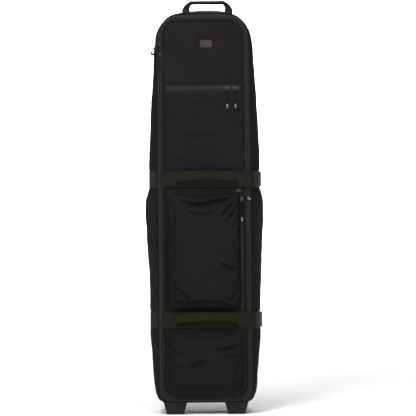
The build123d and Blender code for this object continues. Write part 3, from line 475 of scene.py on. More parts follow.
# ---- outline of the case --------------------------------------------------------------------------
# half width against height, and half width against depth
HALF_WIDTH = smooth_curve([(0.0, 0.100), (0.040, 0.132), (0.055, 0.1455), (0.075, 0.1525), (0.12, 0.1575),
                           (0.18, 0.1625), (0.258, 0.1678), (0.291, 0.1660), (0.325, 0.1678), (0.39, 0.1700),
                           (0.48, 0.1738), (0.56, 0.1780), (0.62, 0.1815), (0.655, 0.1800), (0.69, 0.1705),
                           (0.722, 0.1668), (0.755, 0.1688), (0.80, 0.1690), (0.86, 0.1655), (0.96, 0.1605),
                           (1.06, 0.1540), (1.12, 0.1500), (1.17, 0.1405), (1.21, 0.1260), (1.25, 0.095),
                           (1.30, 0.04)])
PLAN_WIDTH = smooth_curve([(-0.20, 0.119), (-0.128, 0.143), (-0.056, 0.167), (0.015, 0.182), (0.20, 0.182)])


def case_field(x, y, z, inset=0.0):
    """Below zero inside the case."""
    ax = np.abs(x)
    crown = TOP_Z - 0.046 * (ax / 0.126) ** 3.0
    rise = np.where(y < 0, TOP_Z - 0.019 * (y / 0.128) ** 2, TOP_Z - 0.031 * (np.maximum(y, 0) / 0.15) ** 2.6)
    slant = (y - 0.088) * 0.6387 - (z - BASE_Z) * 0.7695
    width = smooth_max(ax - HALF_WIDTH(z), ax - PLAN_WIDTH(y), soft=0.0012) - 0.0015
    return smooth_max(width, z - crown, z - rise, y - BACK_Y, BASE_Z - z,
                      slant, ax + y - 0.330) + inset


def march(base, direction, field):
    """Where a ray from inside leaves a field within a quarter of a metre, for every ray at once."""
    low = np.zeros(len(base))
    high = np.full(len(base), 0.25)
    for _ in range(26):
        middle = (low + high) / 2
        at = base + direction * middle[:, None]
        inside = field(at[:, 0], at[:, 1], at[:, 2]) < 0
        low = np.where(inside, middle, low)
        high = np.where(inside, high, middle)
    return base + direction * low[:, None]


CORE_X = 0.085           # a rectangle inside the case, from which its skin is found
CORE_LOW = 0.135
CORE_HIGH = 1.135
CORE_BACK = 0.095


def section_loop(side_rows, top_rows, fan_rows):
    """Base points and outward directions round the case's front-view section, anticlockwise from the base."""
    base = []
    direction = []
    corners = [((CORE_X, CORE_LOW), (CORE_X, CORE_HIGH), 0, side_rows),
               ((CORE_X, CORE_HIGH), (-CORE_X, CORE_HIGH), 90, top_rows),
               ((-CORE_X, CORE_HIGH), (-CORE_X, CORE_LOW), 180, side_rows),
               ((-CORE_X, CORE_LOW), (CORE_X, CORE_LOW), 270, top_rows)]
    for start, end, angle, rows in corners:
        for k in range(rows):
            share = k / rows
            base.append((start[0] + (end[0] - start[0]) * share, 0, start[1] + (end[1] - start[1]) * share))
            direction.append((math.cos(math.radians(angle)), 0, math.sin(math.radians(angle))))
        for k in range(fan_rows):
            turn = math.radians(angle + 90 * k / fan_rows)
            base.append((end[0], 0, end[1]))
            direction.append((math.cos(turn), 0, math.sin(turn)))
    return np.array(base), np.array(direction)


LOOP_BASE, LOOP_DIRECTION = section_loop(190, 30, 22)
LOOP = len(LOOP_BASE)


def case_surface(inset, rows_side, rows_fan, rows_back, front_y):
    """Rows of the case's skin, from the parting plane round the back corner to the back's centre line."""
    def field(x, y, z):
        return case_field(x, y, z, inset)

    rows = [march(LOOP_BASE + (0, y, 0), LOOP_DIRECTION, field) for y in np.linspace(front_y, CORE_BACK, rows_side)]
    for k in range(1, rows_fan + 1):
        turn = math.radians(90 * k / rows_fan)
        direction = LOOP_DIRECTION * math.cos(turn) + np.array((0, 1, 0)) * math.sin(turn)
        rows.append(march(LOOP_BASE + (0, CORE_BACK, 0), direction, field))
    for k in range(1, rows_back + 1):
        shrink = 1 - k / rows_back
        base = LOOP_BASE + (0, CORE_BACK, 0)
        base[:, 0] *= shrink
        base[:, 2] = np.clip(base[:, 2], CORE_LOW + CORE_X * (1 - shrink), CORE_HIGH - CORE_X * (1 - shrink))
        rows.append(march(base, np.tile((0.0, 1.0, 0.0), (LOOP, 1)), field))
    return np.array(rows)


def surface_uv(rows):
    """Distances along and round a surface of rows, in metres."""
    steps = np.linalg.norm(np.diff(rows, axis=0), axis=2)
    across = np.concatenate([np.zeros((1, rows.shape[1])), np.cumsum(steps, axis=0)])
    round_it = run_along(rows[0])
    return np.stack([across, np.broadcast_to(round_it, across.shape)], axis=2).reshape(-1, 2)


def surface_normals(rows):
    """Unit normals of a closed surface of rows, pointing out of the case."""
    along = np.gradient(rows, axis=0)
    wrapped = np.concatenate([rows[:, -1:], rows, rows[:, :1]], axis=1)
    round_it = (wrapped[:, 2:] - wrapped[:, :-2]) / 2
    normal = np.cross(along, round_it)
    length = np.linalg.norm(normal, axis=2)[:, :, None]
    return normal / np.maximum(length, 1e-9)


def cloth_relief(points, amount, seed):
    """Gentle uneven swell of filled cloth: broad hollows and finer slanting wrinkles."""
    flat = points.reshape(-1, 3)
    broad = wave_noise(flat * (1, 1, 0.7), 9.0, seed)
    slant = flat + np.stack([flat[:, 2] * 0.5, flat[:, 2] * 0.3, -flat[:, 0] * 0.4], axis=1)
    fine = wave_noise(slant * (0.5, 0.5, 1.0), 38.0, seed + 2)
    ridged = 1 - 2 * np.abs(wave_noise(slant * (0.35, 0.35, 1.0), 22.0, seed + 5))
    return (amount * (0.6 * broad + 0.16 * fine + 0.22 * ridged)).reshape(points.shape[:-1])


def strap_pinch(z):
    """Crumpling of the cloth just above and below each strap, 0 to 1."""
    total = np.zeros_like(z)
    for level in (UPPER_Z, LOWER_Z):
        off = np.abs(z - level) - 0.025
        total += np.where(off > 0, np.exp(-off / 0.035), 0)
    return total


SHELL = case_surface(0.0, 40, 14, 16, PART_Y)
SHELL_NORMAL = surface_normals(SHELL)
INNER_SHADE = (SHELL[:, :, 1] - PART_Y) / 0.03
relief = cloth_relief(SHELL, 0.0042, 3) * np.clip(INNER_SHADE, 0, 1)
gather = np.sin(SHELL[:, :, 1] * 210 + 3 * wave_noise(SHELL.reshape(-1, 3), 16, 4).reshape(SHELL.shape[:2]))
relief += strap_pinch(SHELL[:, :, 2]) * 0.0013 * gather * np.clip(INNER_SHADE, 0, 1)
under_strap = np.maximum(bump_window(SHELL[:, :, 2], UPPER_Z - 0.026, UPPER_Z + 0.026, 0.008),
                         bump_window(SHELL[:, :, 2], LOWER_Z - 0.026, LOWER_Z + 0.026, 0.008))
relief = relief * (1 - under_strap)
near_floor = np.clip((SHELL[:, :, 2] - 0.05) / 0.03, 0, 1)
SHELL_SKIN = SHELL + SHELL_NORMAL * (relief * near_floor)[:, :, None]


def skin_of(made, thickness, lining):
    """Give an open sheet its thickness inwards, lined with its material number lining."""
    add_modifier(made, "SOLIDIFY", thickness=thickness, offset=-1.0, material_offset=lining, use_rim=True)


def kept_faces(points, faces, keep):
    """The vertices in use, and the faces renumbered to them, once only faces that pass keep are left."""
    chosen = [f for f in faces if keep(points[list(f)].mean(axis=0))]
    used = sorted({v for f in chosen for v in f})
    index = {v: k for k, v in enumerate(used)}
    return used, [tuple(index[v] for v in f) for f in chosen]


def make_case_shell():
    """The cloth of the case in one piece, lined inside; the bottom band is a coated cloth coloured darker as
    painted shade under the case.
    """
    rows, columns = SHELL_SKIN.shape[:2]
    faces = grid_faces(rows, columns, closed=True)
    centre_z = [(SHELL_SKIN.reshape(-1, 3)[list(f), 2]).mean() for f in faces]
    # faces in the bottom band take the darker base cloth: painted shade under the case
    picks = [1 if z < BASE_Z + 0.016 else 0 for z in centre_z]
    made = piece("case_shell", SHELL_SKIN.reshape(-1, 3), faces, [FABRIC, BASE_SHADE_FABRIC, LINING], CASE,
                 ("back_panel", "side_gusset_left", "side_gusset_right", "top_panel", "base_panel"),
                 surface_uv(SHELL), picks, False)
    skin_of(made, 0.0042, 2)
    return made


make_case_shell()


# ---- door outline --------------------------------------------------------------------------------
def rounded_distance(x, z, half_x, half_z, corner):
    """Signed distance to a rounded rectangle about the origin."""
    dx = np.abs(x) - half_x + corner
    dz = np.abs(z) - half_z + corner
    return np.hypot(np.maximum(dx, 0), np.maximum(dz, 0)) + np.minimum(np.maximum(dx, dz), 0) - corner


def door_field(x, z):
    """Signed distance to the door's rounded outline on its flat face."""
    share = np.clip((z - DOOR_LOW) / (DOOR_HIGH - DOOR_LOW), 0, 1)
    right = DOOR_RIGHT_LOW + (DOOR_RIGHT_HIGH - DOOR_RIGHT_LOW) * share
    middle_x = (right + HINGE_X) / 2
    half_x = (right - HINGE_X) / 2
    middle_z = (DOOR_LOW + DOOR_HIGH) / 2
    half_z = (DOOR_HIGH - DOOR_LOW) / 2
    corner = np.where(z > middle_z, CORNER_HIGH, CORNER_LOW)
    return rounded_distance(x - middle_x, z - middle_z, half_x, half_z, corner)


DOOR_LOOP = march(LOOP_BASE + (0, PANEL_Y, 0), LOOP_DIRECTION, lambda a, b, c: door_field(a, c))
RIM_LOOP = SHELL_SKIN[0]


def bevel_point(share, rise=0.0):
    """Loop of points on the sloping edge of the door, share of the way from its face to the case."""
    flat = DOOR_LOOP * (1 - share) + RIM_LOOP * share
    out = np.stack([LOOP_DIRECTION[:, 0], np.full(LOOP, -1.0), LOOP_DIRECTION[:, 2]], axis=1) / math.sqrt(2)
    swell = 0.0022 * math.sin(math.pi * share)
    return flat + out * (swell + rise)


def make_bevels():
    """The sloping edge: the hinge side stays with the case, the rest goes with the door."""
    shares = np.linspace(0.0, 1.0, 9)
    rows = np.array([bevel_point(s) for s in shares])
    uv = surface_uv(rows)
    faces = grid_faces(len(shares), LOOP, closed=True)
    points = rows.reshape(-1, 3)
    for name, body, keep_left in (("hinge_bevel", CASE, True), ("door_bevel", DOOR, False)):
        used, renumbered = kept_faces(points, faces, lambda centre: (centre[0] < HINGE_X) == keep_left)
        made = piece(name, points[used], renumbered, [FABRIC, LINING], body,
                     ("front_rim",) if keep_left else (), uv[used], None, False)
        skin_of(made, 0.003, 1)


make_bevels()


# ---- door skin -------------------------------------------------------------------------------------
def crease(x, z, path, width, depth, lip=0.5):
    """A soft fold along a path of (x, z) points: a groove with a raised lip above it."""
    path = np.asarray(path, float)
    best = np.full(x.shape, 1e9)
    sign = np.ones(x.shape)
    along = np.zeros(x.shape)
    total = np.linalg.norm(np.diff(path, axis=0), axis=1).sum()
    run = 0.0
    for a, b in zip(path[:-1], path[1:]):
        d = b - a
        length = np.linalg.norm(d)
        t = np.clip(((x - a[0]) * d[0] + (z - a[1]) * d[1]) / length ** 2, 0, 1)
        px = x - a[0] - t * d[0]
        pz = z - a[1] - t * d[1]
        distance = np.hypot(px, pz)
        closer = distance < best
        best = np.where(closer, distance, best)
        sign = np.where(closer, np.sign(d[0] * pz - d[1] * px), sign)
        along = np.where(closer, (run + t * length) / total, along)
        run += length
    fade = np.sin(np.pi * np.clip(along, 0.03, 0.97)) ** 0.6
    groove = np.exp(-(best / width) ** 2)
    ridge = np.exp(-((best - 1.8 * width) / width) ** 2) * (sign > 0)
    return fade * depth * (lip * ridge - groove)


def curve_points(points, count=14):
    """Smooth path through a few (x, z) points."""
    points = np.asarray(points, float)
    at = np.linspace(0, 1, len(points))
    fine = np.linspace(0, 1, count)
    xs = smooth_curve(list(zip(at, points[:, 0])))(fine)
    zs = smooth_curve(list(zip(at, points[:, 1])))(fine)
    return np.stack([xs, zs], axis=1)


def box_distance(x, z, box, corner):
    """Signed distance to a rounded rectangle seen from the front."""
    middle_x = (box[0][0] + box[1][0]) / 2
    middle_z = (box[0][2] + box[1][2]) / 2
    return rounded_distance(x - middle_x, z - middle_z, (box[1][0] - box[0][0]) / 2, (box[1][2] - box[0][2]) / 2,
                            corner)


def make_door_skin():
    """The padded front of the door: a sheet that fills the piping outline."""
    rows = 300
    columns = 70
    z_line = DOOR_LOW + (DOOR_HIGH - DOOR_LOW) * (1 - np.cos(np.pi * np.linspace(0, 1, rows))) / 2
    z_line = 0.5 * z_line + 0.5 * np.linspace(DOOR_LOW, DOOR_HIGH, rows)
    share = np.clip((z_line - DOOR_LOW) / (DOOR_HIGH - DOOR_LOW), 0, 1)
    right = DOOR_RIGHT_LOW + (DOOR_RIGHT_HIGH - DOOR_RIGHT_LOW) * share
    low_cut = np.maximum(DOOR_LOW + CORNER_LOW - z_line, 0)
    high_cut = np.maximum(z_line - DOOR_HIGH + CORNER_HIGH, 0)
    trim = CORNER_LOW - np.sqrt(np.maximum(CORNER_LOW ** 2 - low_cut ** 2, 0))
    trim = trim + CORNER_HIGH - np.sqrt(np.maximum(CORNER_HIGH ** 2 - high_cut ** 2, 0))
    across = np.linspace(0, 1, columns)
    x = (HINGE_X + 0.0002 + trim)[:, None] * (1 - across) + (right - trim)[:, None] * across
    z = np.repeat(z_line[:, None], columns, axis=1)
    edge = np.clip(-door_field(x, z) / 0.028, 0, 1)
    fill = np.sin(edge * math.pi / 2)
    points = np.stack([x, np.full_like(x, PANEL_Y), z], axis=2)
    puff = 0.0030 * fill + cloth_relief(points, 0.0028, 11) * edge
    zip_dip = np.exp(-((z - ZIP_UPPER_Z) / 0.0155) ** 6)
    puff = puff * (1 - zip_dip)
    for path, width, depth in UPPER_FOLDS:
        puff = puff + crease(x, z, curve_points(path), width, depth) * edge
    for level in (UPPER_Z, LOWER_Z):
        pressed = np.exp(-((z - level) / 0.030) ** 4)
        puff = puff * (1 - pressed)
    badge_distance = np.maximum(box_distance(x, z, BADGE_BOX, 0.004), 0)
    puff = puff * (1 - np.exp(-(badge_distance / 0.010) ** 2))
    points[:, :, 1] -= np.clip(puff, -0.001, 0.0068)
    uv = np.stack([x, z], axis=2).reshape(-1, 2)
    made = piece("door_skin", points.reshape(-1, 3), grid_faces(rows, columns), [FABRIC, LINING], DOOR,
                 ("lid_panel",), uv, None, False)
    skin_of(made, 0.004, 1)
    return made


BADGE_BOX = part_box("badge")
ZIP_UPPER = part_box("upper_pocket_zip")
ZIP_UPPER_Z = (ZIP_UPPER[0][2] + ZIP_UPPER[1][2]) / 2
UPPER_FOLDS = [
    ([(-0.10, 0.965), (-0.03, 0.950), (0.05, 0.962), (0.11, 0.950)], 0.010, 0.0018),
    ([(-0.11, 0.870), (-0.04, 0.846), (0.05, 0.850), (0.11, 0.880)], 0.012, 0.0022),
    ([(0.03, 0.775), (0.07, 0.800), (0.11, 0.850)], 0.009, 0.0020),
    ([(-0.11, 0.800), (-0.07, 0.775), (-0.02, 0.762)], 0.009, 0.0020),
    ([(-0.10, 1.150), (-0.06, 1.120), (-0.05, 1.060)], 0.010, 0.0015),
    ([(0.06, 1.185), (0.085, 1.140), (0.10, 1.060)], 0.010, 0.0018),
]
make_door_skin()


# ---- piping ----------------------------------------------------------------------------------------
def make_piping():
    """Bound piping round the door, at the parting line and along the back seam."""
    inward = -LOOP_DIRECTION * 0.0022
    path = DOOR_LOOP + inward + np.array((0, -0.0012, 0))
    clear = np.maximum(path[:, 0], HINGE_X + 0.0026)
    path = np.stack([clear, path[:, 1], path[:, 2]], axis=1)
    tube("door_piping", path, 0.0023, PIPING, DOOR, 10, closed=True, replaces=("lid_piping",))
    seam_row = 43
    seam = SHELL_SKIN[seam_row] + SHELL_NORMAL[seam_row] * 0.0004
    tube("back_piping", seam, 0.0024, PIPING, CASE, 8, closed=True)
    front_seam = SHELL_SKIN[1] + SHELL_NORMAL[1] * 0.0003
    tube("rim_piping", front_seam, 0.0017, PIPING, CASE, 8, closed=True)


make_piping()


# ---- pockets and pads on the door ------------------------------------------------------------------
def pillow(name, node, corner, wall, roll, folds, seed, material, crumple, steep_share, full):
    """A sewn-on pouch: side walls that rise steeply from the seam, then a soft face with folds."""
    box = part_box(node)
    rise = box[1][1] - box[0][1]
    rim_step = 0.0030
    cx = (box[0][0] + box[1][0]) / 2
    cz = (box[0][2] + box[1][2]) / 2
    half_x = (box[1][0] - box[0][0]) / 2
    half_z = (box[1][2] - box[0][2]) / 2
    rows = int(2 * half_z / rim_step)
    columns = int(2 * half_x / rim_step)
    u = np.linspace(-1, 1, columns)
    v = np.linspace(-1, 1, rows)
    u = np.sign(u) * (1 - (1 - np.abs(u)) ** 1.25)
    v = np.sign(v) * (1 - (1 - np.abs(v)) ** 1.2)
    gu, gv = np.meshgrid(u, v)
    x = cx + gu * half_x
    z = cz + gv * half_z
    cut_x = corner - np.sqrt(np.maximum(corner ** 2 - np.maximum(np.abs(z - cz) - half_z + corner, 0) ** 2, 0))
    x = cx + gu * (half_x - cut_x)
    inside = np.maximum(-box_distance(x, z, box, corner), 0)
    steep = 1 - np.exp(-inside / wall)
    soft = np.clip(inside / roll, 0, 1)
    soft = np.sin(soft * math.pi / 2) ** 0.9
    height = rise * (steep_share * steep + (0.94 - steep_share) * soft) * full(z)
    flat = np.stack([x, np.zeros_like(x), z], axis=2)
    edge = np.clip(inside / 0.022, 0, 1)
    height = height + cloth_relief(flat, crumple, seed) * edge
    pucker = np.sin((x + z) * 260 + 4 * wave_noise((flat * 18).reshape(-1, 3), 1.0, seed).reshape(x.shape))
    height = height + 0.0006 * pucker * np.exp(-(inside / 0.010) ** 2) * np.clip(inside / 0.002, 0, 1)
    for path, width, depth in folds:
        height = height + 1.5 * crease(x, z, curve_points(path), width, depth) * edge
    height = np.clip(height, 0.0, rise + 0.004)
    outer = np.stack([x, PANEL_Y - height, z], axis=2)
    made = piece(name, outer.reshape(-1, 3), grid_faces(rows, columns), [material, LINING], DOOR,
                 (node,), np.stack([x, z - height * 0.8], axis=2).reshape(-1, 2), None, False)
    skin_of(made, 0.0016, 1)
    return made


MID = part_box("mid_pocket")


def mid_fullness(z):
    """The shoe pocket sags: flat just under its zip and fullest below the middle."""
    down = (MID[1][2] - z) / (MID[1][2] - MID[0][2])
    return 0.66 + 0.36 * np.clip(down / 0.34, 0, 1) ** 0.8 - 0.10 * np.clip((down - 0.80) / 0.2, 0, 1)


def even_fullness(z):
    """The bottom pad is evenly filled."""
    return np.ones_like(z)


MID_FOLDS = [
    ([(-0.108, 0.676), (-0.079, 0.655), (-0.021, 0.640), (0.037, 0.652), (0.104, 0.672)], 0.0085, 0.0100),
    ([(-0.104, 0.656), (-0.066, 0.626), (0.000, 0.610), (0.040, 0.620)], 0.0090, 0.0050),
    ([(0.103, 0.664), (0.080, 0.640), (0.046, 0.598)], 0.0055, 0.0060),
    ([(0.104, 0.655), (0.090, 0.622), (0.066, 0.580)], 0.0052, 0.0056),
    ([(0.104, 0.670), (0.070, 0.657), (0.030, 0.646)], 0.0050, 0.0052),
    ([(0.102, 0.640), (0.098, 0.600), (0.085, 0.555)], 0.0055, 0.0040),
    ([(-0.108, 0.660), (-0.097, 0.620), (-0.094, 0.570)], 0.0060, 0.0044),
    ([(0.042, 0.467), (0.080, 0.450), (0.108, 0.433)], 0.0042, 0.0068),
    ([(0.108, 0.388), (0.095, 0.368), (0.076, 0.350)], 0.0058, 0.0078),
    ([(0.040, 0.349), (0.065, 0.338), (0.090, 0.330)], 0.0045, 0.0056),
    ([(-0.113, 0.438), (-0.103, 0.420), (-0.088, 0.402)], 0.0045, 0.0060),
    ([(-0.111, 0.408), (-0.098, 0.396), (-0.080, 0.384)], 0.0045, 0.0060),
    ([(-0.074, 0.380), (-0.060, 0.366), (-0.046, 0.354)], 0.0042, 0.0056),
    ([(-0.100, 0.350), (-0.060, 0.342), (-0.010, 0.346), (0.030, 0.342)], 0.0060, 0.0060),
    ([(0.106, 0.560), (0.096, 0.530), (0.098, 0.480)], 0.0065, 0.0036),
    ([(-0.108, 0.530), (-0.098, 0.500), (-0.100, 0.450)], 0.0060, 0.0034),
    ([(-0.050, 0.560), (-0.020, 0.520), (0.020, 0.505)], 0.0150, 0.0022),
    ([(0.060, 0.520), (0.020, 0.450), (0.015, 0.400)], 0.0150, 0.0024),
]
LOW_FOLDS = [
    ([(0.020, 0.198), (0.060, 0.201), (0.110, 0.212)], 0.0055, 0.0048),
    ([(0.050, 0.184), (0.085, 0.180), (0.112, 0.186)], 0.0050, 0.0028),
    ([(-0.062, 0.145), (-0.035, 0.152), (0.004, 0.165)], 0.0055, 0.0046),
    ([(-0.106, 0.206), (-0.092, 0.192), (-0.078, 0.186)], 0.0050, 0.0036),
    ([(-0.104, 0.150), (-0.090, 0.146), (-0.070, 0.148)], 0.0050, 0.0030),
    ([(-0.108, 0.092), (-0.040, 0.080), (0.040, 0.080), (0.108, 0.094)], 0.0080, 0.0060),
    ([(0.106, 0.160), (0.096, 0.130), (0.100, 0.100)], 0.0060, 0.0034),
]
pillow("shoe_pocket", "mid_pocket", 0.022, 0.0065, 0.060, MID_FOLDS, 21, POCKET_FABRIC,
       crumple=0.0050, steep_share=0.50, full=mid_fullness)
pillow("bottom_pad", "lower_pad", 0.022, 0.0060, 0.040, LOW_FOLDS, 31, POCKET_FABRIC,
       crumple=0.0034, steep_share=0.30, full=even_fullness)


def rounded_loop(box, inset, corner, y, count=12):
    """Points round a rounded rectangle on the door, inset from a box."""
    left, right = box[0][0] + inset, box[1][0] - inset
    low, high = box[0][2] + inset, box[1][2] - inset
    points = []
    for cx, cz, start in ((right - corner, low + corner, -90), (right - corner, high - corner, 0),
                          (left + corner, high - corner, 90), (left + corner, low + corner, 180)):
        for k in range(count + 1):
            turn = math.radians(start + 90 * k / count)
            points.append((cx + corner * math.cos(turn), y, cz + corner * math.sin(turn)))
    points.append(points[0])
    return points


def door_trims():
    """Piping round the shoe pocket, and the rows of thread beside the seams."""
    loop = resample(rounded_loop(MID, -0.0006, 0.022, PANEL_Y - 0.0016), 0.005)[:-1]
    tube("pocket_piping", loop, 0.0021, PIPING, DOOR, 8, closed=True)
    run = DOOR_LOOP - LOOP_DIRECTION * 0.0075 + np.array((0, -0.0010, 0))
    stitches("door_stitching", [run[run[:, 0] > HINGE_X + 0.004]], DOOR)
    stitches("bevel_stitching", [bevel_point(0.86, 0.0005)[LOOP_DIRECTION[:, 0] > 0.2]], DOOR)
    stitches("gusset_stitching", [SHELL_SKIN[4] + SHELL_NORMAL[4] * 0.0004], CASE)


door_trims()


# ---- zips ---------------------------------------------------------------------------------------------
def zip_teeth(name, path, outward, body, pitch, width, height, replaces=()):
    """Coil teeth along a path: small slanted rounded bars on both sides of the middle line."""
    path = resample(path, pitch / 2)
    tangent = unit(np.gradient(path, axis=0))
    outward = np.atleast_2d(np.asarray(outward, float))
    share = np.linspace(0, 1, len(outward)) if len(outward) > 1 else np.zeros(1)
    outward = np.stack([np.interp(np.linspace(0, 1, len(path)), share, outward[:, k]) for k in range(3)], axis=1)
    verts = []
    faces = []
    uvs = []
    for k in range(len(path)):
        side = unit(np.cross(tangent[k], outward[k]))
        sign = 1 if k % 2 else -1
        a = path[k] - side * sign * width * 0.12
        b = path[k] + side * sign * width * 0.5
        start = len(verts)
        for share, size in ((0.0, 0.6), (0.2, 1.0), (0.8, 1.0), (1.0, 0.5)):
            centre = a + (b - a) * share
            for t, h in ((-0.42, 0.0), (-0.42, 0.7), (-0.2, 1.0), (0.2, 1.0), (0.42, 0.7), (0.42, 0.0)):
                lift = h * height * (0.4 + 0.6 * size)
                verts.append(centre + tangent[k] * t * pitch * 0.78 * size + outward[k] * lift)
                uvs.append((share * width, t * pitch))
        faces += grid_faces(4, 6, closed=True, offset=start)
        faces += end_caps(4, 6, start)
    return piece(name, verts, faces, COIL, body, replaces, uvs)


def split_runs(points, chosen):
    """The longest unbroken run of chosen points on a closed loop."""
    order = np.flatnonzero(chosen)
    gaps = np.flatnonzero(np.diff(order) > 1)
    if len(gaps):
        order = np.concatenate([order[gaps[-1] + 1:], order[:gaps[-1] + 1]])
    return points[order]


def loop_tape(name, low, high, keep_left, body):
    """A flat zip tape on the sloping edge, between two shares of its width."""
    shares = np.linspace(low, high, 5)
    rows = np.array([bevel_point(s, 0.0007) for s in shares])
    lower = np.array([bevel_point(s, -0.0002) for s in shares])
    stack = np.concatenate([rows, lower[::-1]])
    points = stack.reshape(-1, 3)
    faces = grid_faces(len(stack), LOOP, closed=True)
    faces += [(9 * LOOP + c, 9 * LOOP + (c + 1) % LOOP, (c + 1) % LOOP, c) for c in range(LOOP)]
    used, renumbered = kept_faces(points, faces, lambda centre: (centre[0] < HINGE_X - 0.0004) == keep_left)
    return piece(name, points[used], renumbered, TAPE, body, (), surface_uv(stack)[used])


def make_zips():
    """The main zip round the door, and the two pocket zips on its face."""
    middle = bevel_point(0.5, 0.0012)
    outward = np.stack([LOOP_DIRECTION[:, 0], np.full(LOOP, -1.0), LOOP_DIRECTION[:, 2]], axis=1) / math.sqrt(2)
    left = middle[:, 0] < HINGE_X - 0.001
    loop_tape("main_zip_tape_case", 0.14, 0.86, True, CASE)
    loop_tape("main_zip_tape_lid", 0.14, 0.86, False, DOOR)
    for name, body, chosen, node in (("main_zip_teeth_case", CASE, left, "main_zip_coil_case"),
                                     ("main_zip_teeth_lid", DOOR, ~left, "main_zip_coil_lid")):
        zip_teeth(name, split_runs(middle, chosen), split_runs(outward, chosen), body, 0.0024, 0.0062, 0.0017,
                  replaces=(node,))
    y = PANEL_Y - 0.0008
    z = ZIP_UPPER_Z
    low_x = ZIP_UPPER[0][0]
    high_x = ZIP_UPPER[1][0]
    ribbon("upper_zip_tape", [(x, y, z) for x in np.linspace(low_x, high_x, 60)], 0.020, 0.0012, UP, TAPE, DOOR,
           ("upper_pocket_zip",))
    teeth = [(x, y - 0.0006, z) for x in np.linspace(low_x + 0.002, high_x - 0.002, 500)]
    zip_teeth("upper_zip_teeth", teeth, FORWARD, DOOR, 0.0022, 0.0060, 0.0016)
    runs = [[(x, y - 0.0007, z + s * 0.0082) for x in (low_x, high_x)] for s in (-1, 1)]
    stitches("upper_zip_stitching", runs, DOOR)
    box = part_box("mid_pocket_zip")
    top = box[1][2] - 0.002
    side = box[1][0] - 0.002
    run = rounded([(box[0][0] + 0.002, PANEL_Y - 0.0006, top), (side, PANEL_Y - 0.0006, top),
                   (side, PANEL_Y - 0.0006, box[0][2])], 0.002, 8)
    zip_teeth("pocket_zip_teeth", run, FORWARD, DOOR, 0.0021, 0.0044, 0.0014, replaces=("mid_pocket_zip",))
    across = unit(np.cross(np.gradient(run, axis=0), FORWARD))
    ribbon("pocket_zip_tape", run + (0, 0.0006, 0), 0.0062, 0.0010, across, TAPE, DOOR)


make_zips()


# ---- zip pulls --------------------------------------------------------------------------------------
def cord_pull(name, body, pivot, direction, length, loop):
    """A cord pull: a ribbed shaft with a moulded tip, or an open cord loop with a gathered neck."""
    pivot = np.asarray(pivot, float)
    direction = unit(np.asarray(direction, float))
    side = unit(np.cross(direction, FORWARD))
    if loop:
        path = []
        start = 0.004
        for k in range(49):
            turn = math.pi * 2 * k / 48
            along = start + (length - 0.003 - start) * (1 - math.cos(turn)) / 2
            wide = 0.0078 * math.sin(turn) * (0.30 + 0.70 * (along / length) ** 0.7)
            path.append(pivot + direction * along + side * wide)
        tube(name, path[:-1], 0.0021, PIPING, body, 8, closed=True, replaces=(name,),
             ribs=0.10, pitch=0.0035)
        collar = [pivot + direction * a for a in np.linspace(0.009, 0.019, 8)]
        collar_radii = [0.0022, 0.0030, 0.0032, 0.0032, 0.0032, 0.0032, 0.0030, 0.0022]
        tube(name + "_collar", collar, collar_radii, FOOT_RUBBER, body, 12)
        tip = [pivot + direction * a for a in np.linspace(length - 0.0095, length + 0.0004, 9)]
        tip_radii = [0.0016, 0.0026, 0.0031, 0.0032, 0.0032, 0.0032, 0.0031, 0.0026, 0.0015]
        tube(name + "_tip", tip, tip_radii, FOOT_RUBBER, body, 12)
        return
    neck = [pivot + direction * a for a in np.linspace(0.003, 0.011, 8)]
    tube(name + "_neck", neck, 0.0012, PIPING, body, 8)
    shaft = [pivot + direction * a for a in np.linspace(0.009, length - 0.015, 64)]
    tube(name, shaft, 0.0023, PIPING, body, 12, replaces=(name,), ribs=0.13, pitch=0.0036)
    # the tip's pale grey colour is a painted highlight
    tip = [pivot + direction * a for a in np.linspace(length - 0.013, length, 12)]
    tip_radii = [0.0022, 0.0030, 0.0033] + [0.0034] * 6 + [0.0032, 0.0027, 0.0012]
    tube(name + "_tip", tip, tip_radii, TIP_HIGHLIGHT_RUBBER, body, 14)


PIVOTS = {joint["child"]: joint["pos_m"] for joint in frame["joints"] if joint["child"].startswith("pull_")}
DOWN = (0, 0, -1)
PULLS = {"pull_main_upper": ((-0.46, -0.46, -0.76), 0.046, True), "pull_main_lower": (DOWN, 0.050, True),
         "pull_upper_pocket_left": (DOWN, 0.062, False), "pull_upper_pocket_right": (DOWN, 0.062, False),
         "pull_mid_pocket_top": ((0.62, -0.62, -0.48), 0.058, False),
         "pull_mid_pocket_side": (DOWN, 0.068, False)}
for pull_name, (pull_direction, pull_length, pull_loop) in PULLS.items():
    cord_pull(pull_name, pull_name, PIVOTS[pull_name], pull_direction, pull_length, pull_loop)


# ---- straps, grips and handle -------------------------------------------------------------------------
def side_surface(z, y_values, sign):
    """Points on the case's side at one height."""
    base = np.stack([np.zeros_like(y_values), y_values, np.full_like(y_values, z)], axis=1)
    direction = np.tile((float(sign), 0.0, 0.0), (len(y_values), 1))
    return march(base, direction, case_field)


def edge_runs(path, across, half, normal_lift):
    """Two rows of points along a strap's edges, for its edge stitching."""
    return [np.asarray(path) + np.asarray(across) * s * half + normal_lift for s in (-1, 1)]


def box_stitch(centre, u, v, half_u, half_v, lift):
    """A sewn rectangle with a cross in it."""
    centre = np.asarray(centre, float) + np.asarray(lift, float)
    u = np.asarray(u, float)
    v = np.asarray(v, float)
    corner = [centre + u * a * half_u + v * b * half_v for a, b in ((-1, -1), (1, -1), (1, 1), (-1, 1))]
    return [[corner[0], corner[1], corner[2], corner[3], corner[0]], [corner[0], corner[2]], [corner[1], corner[3]]]


FLAT_Y = (STRAP_UPPER[0][1] + PANEL_Y - 0.0032) / 2
FRONT_LEFT = STRAP_UPPER[0][0]
CORNER_X = 0.1298


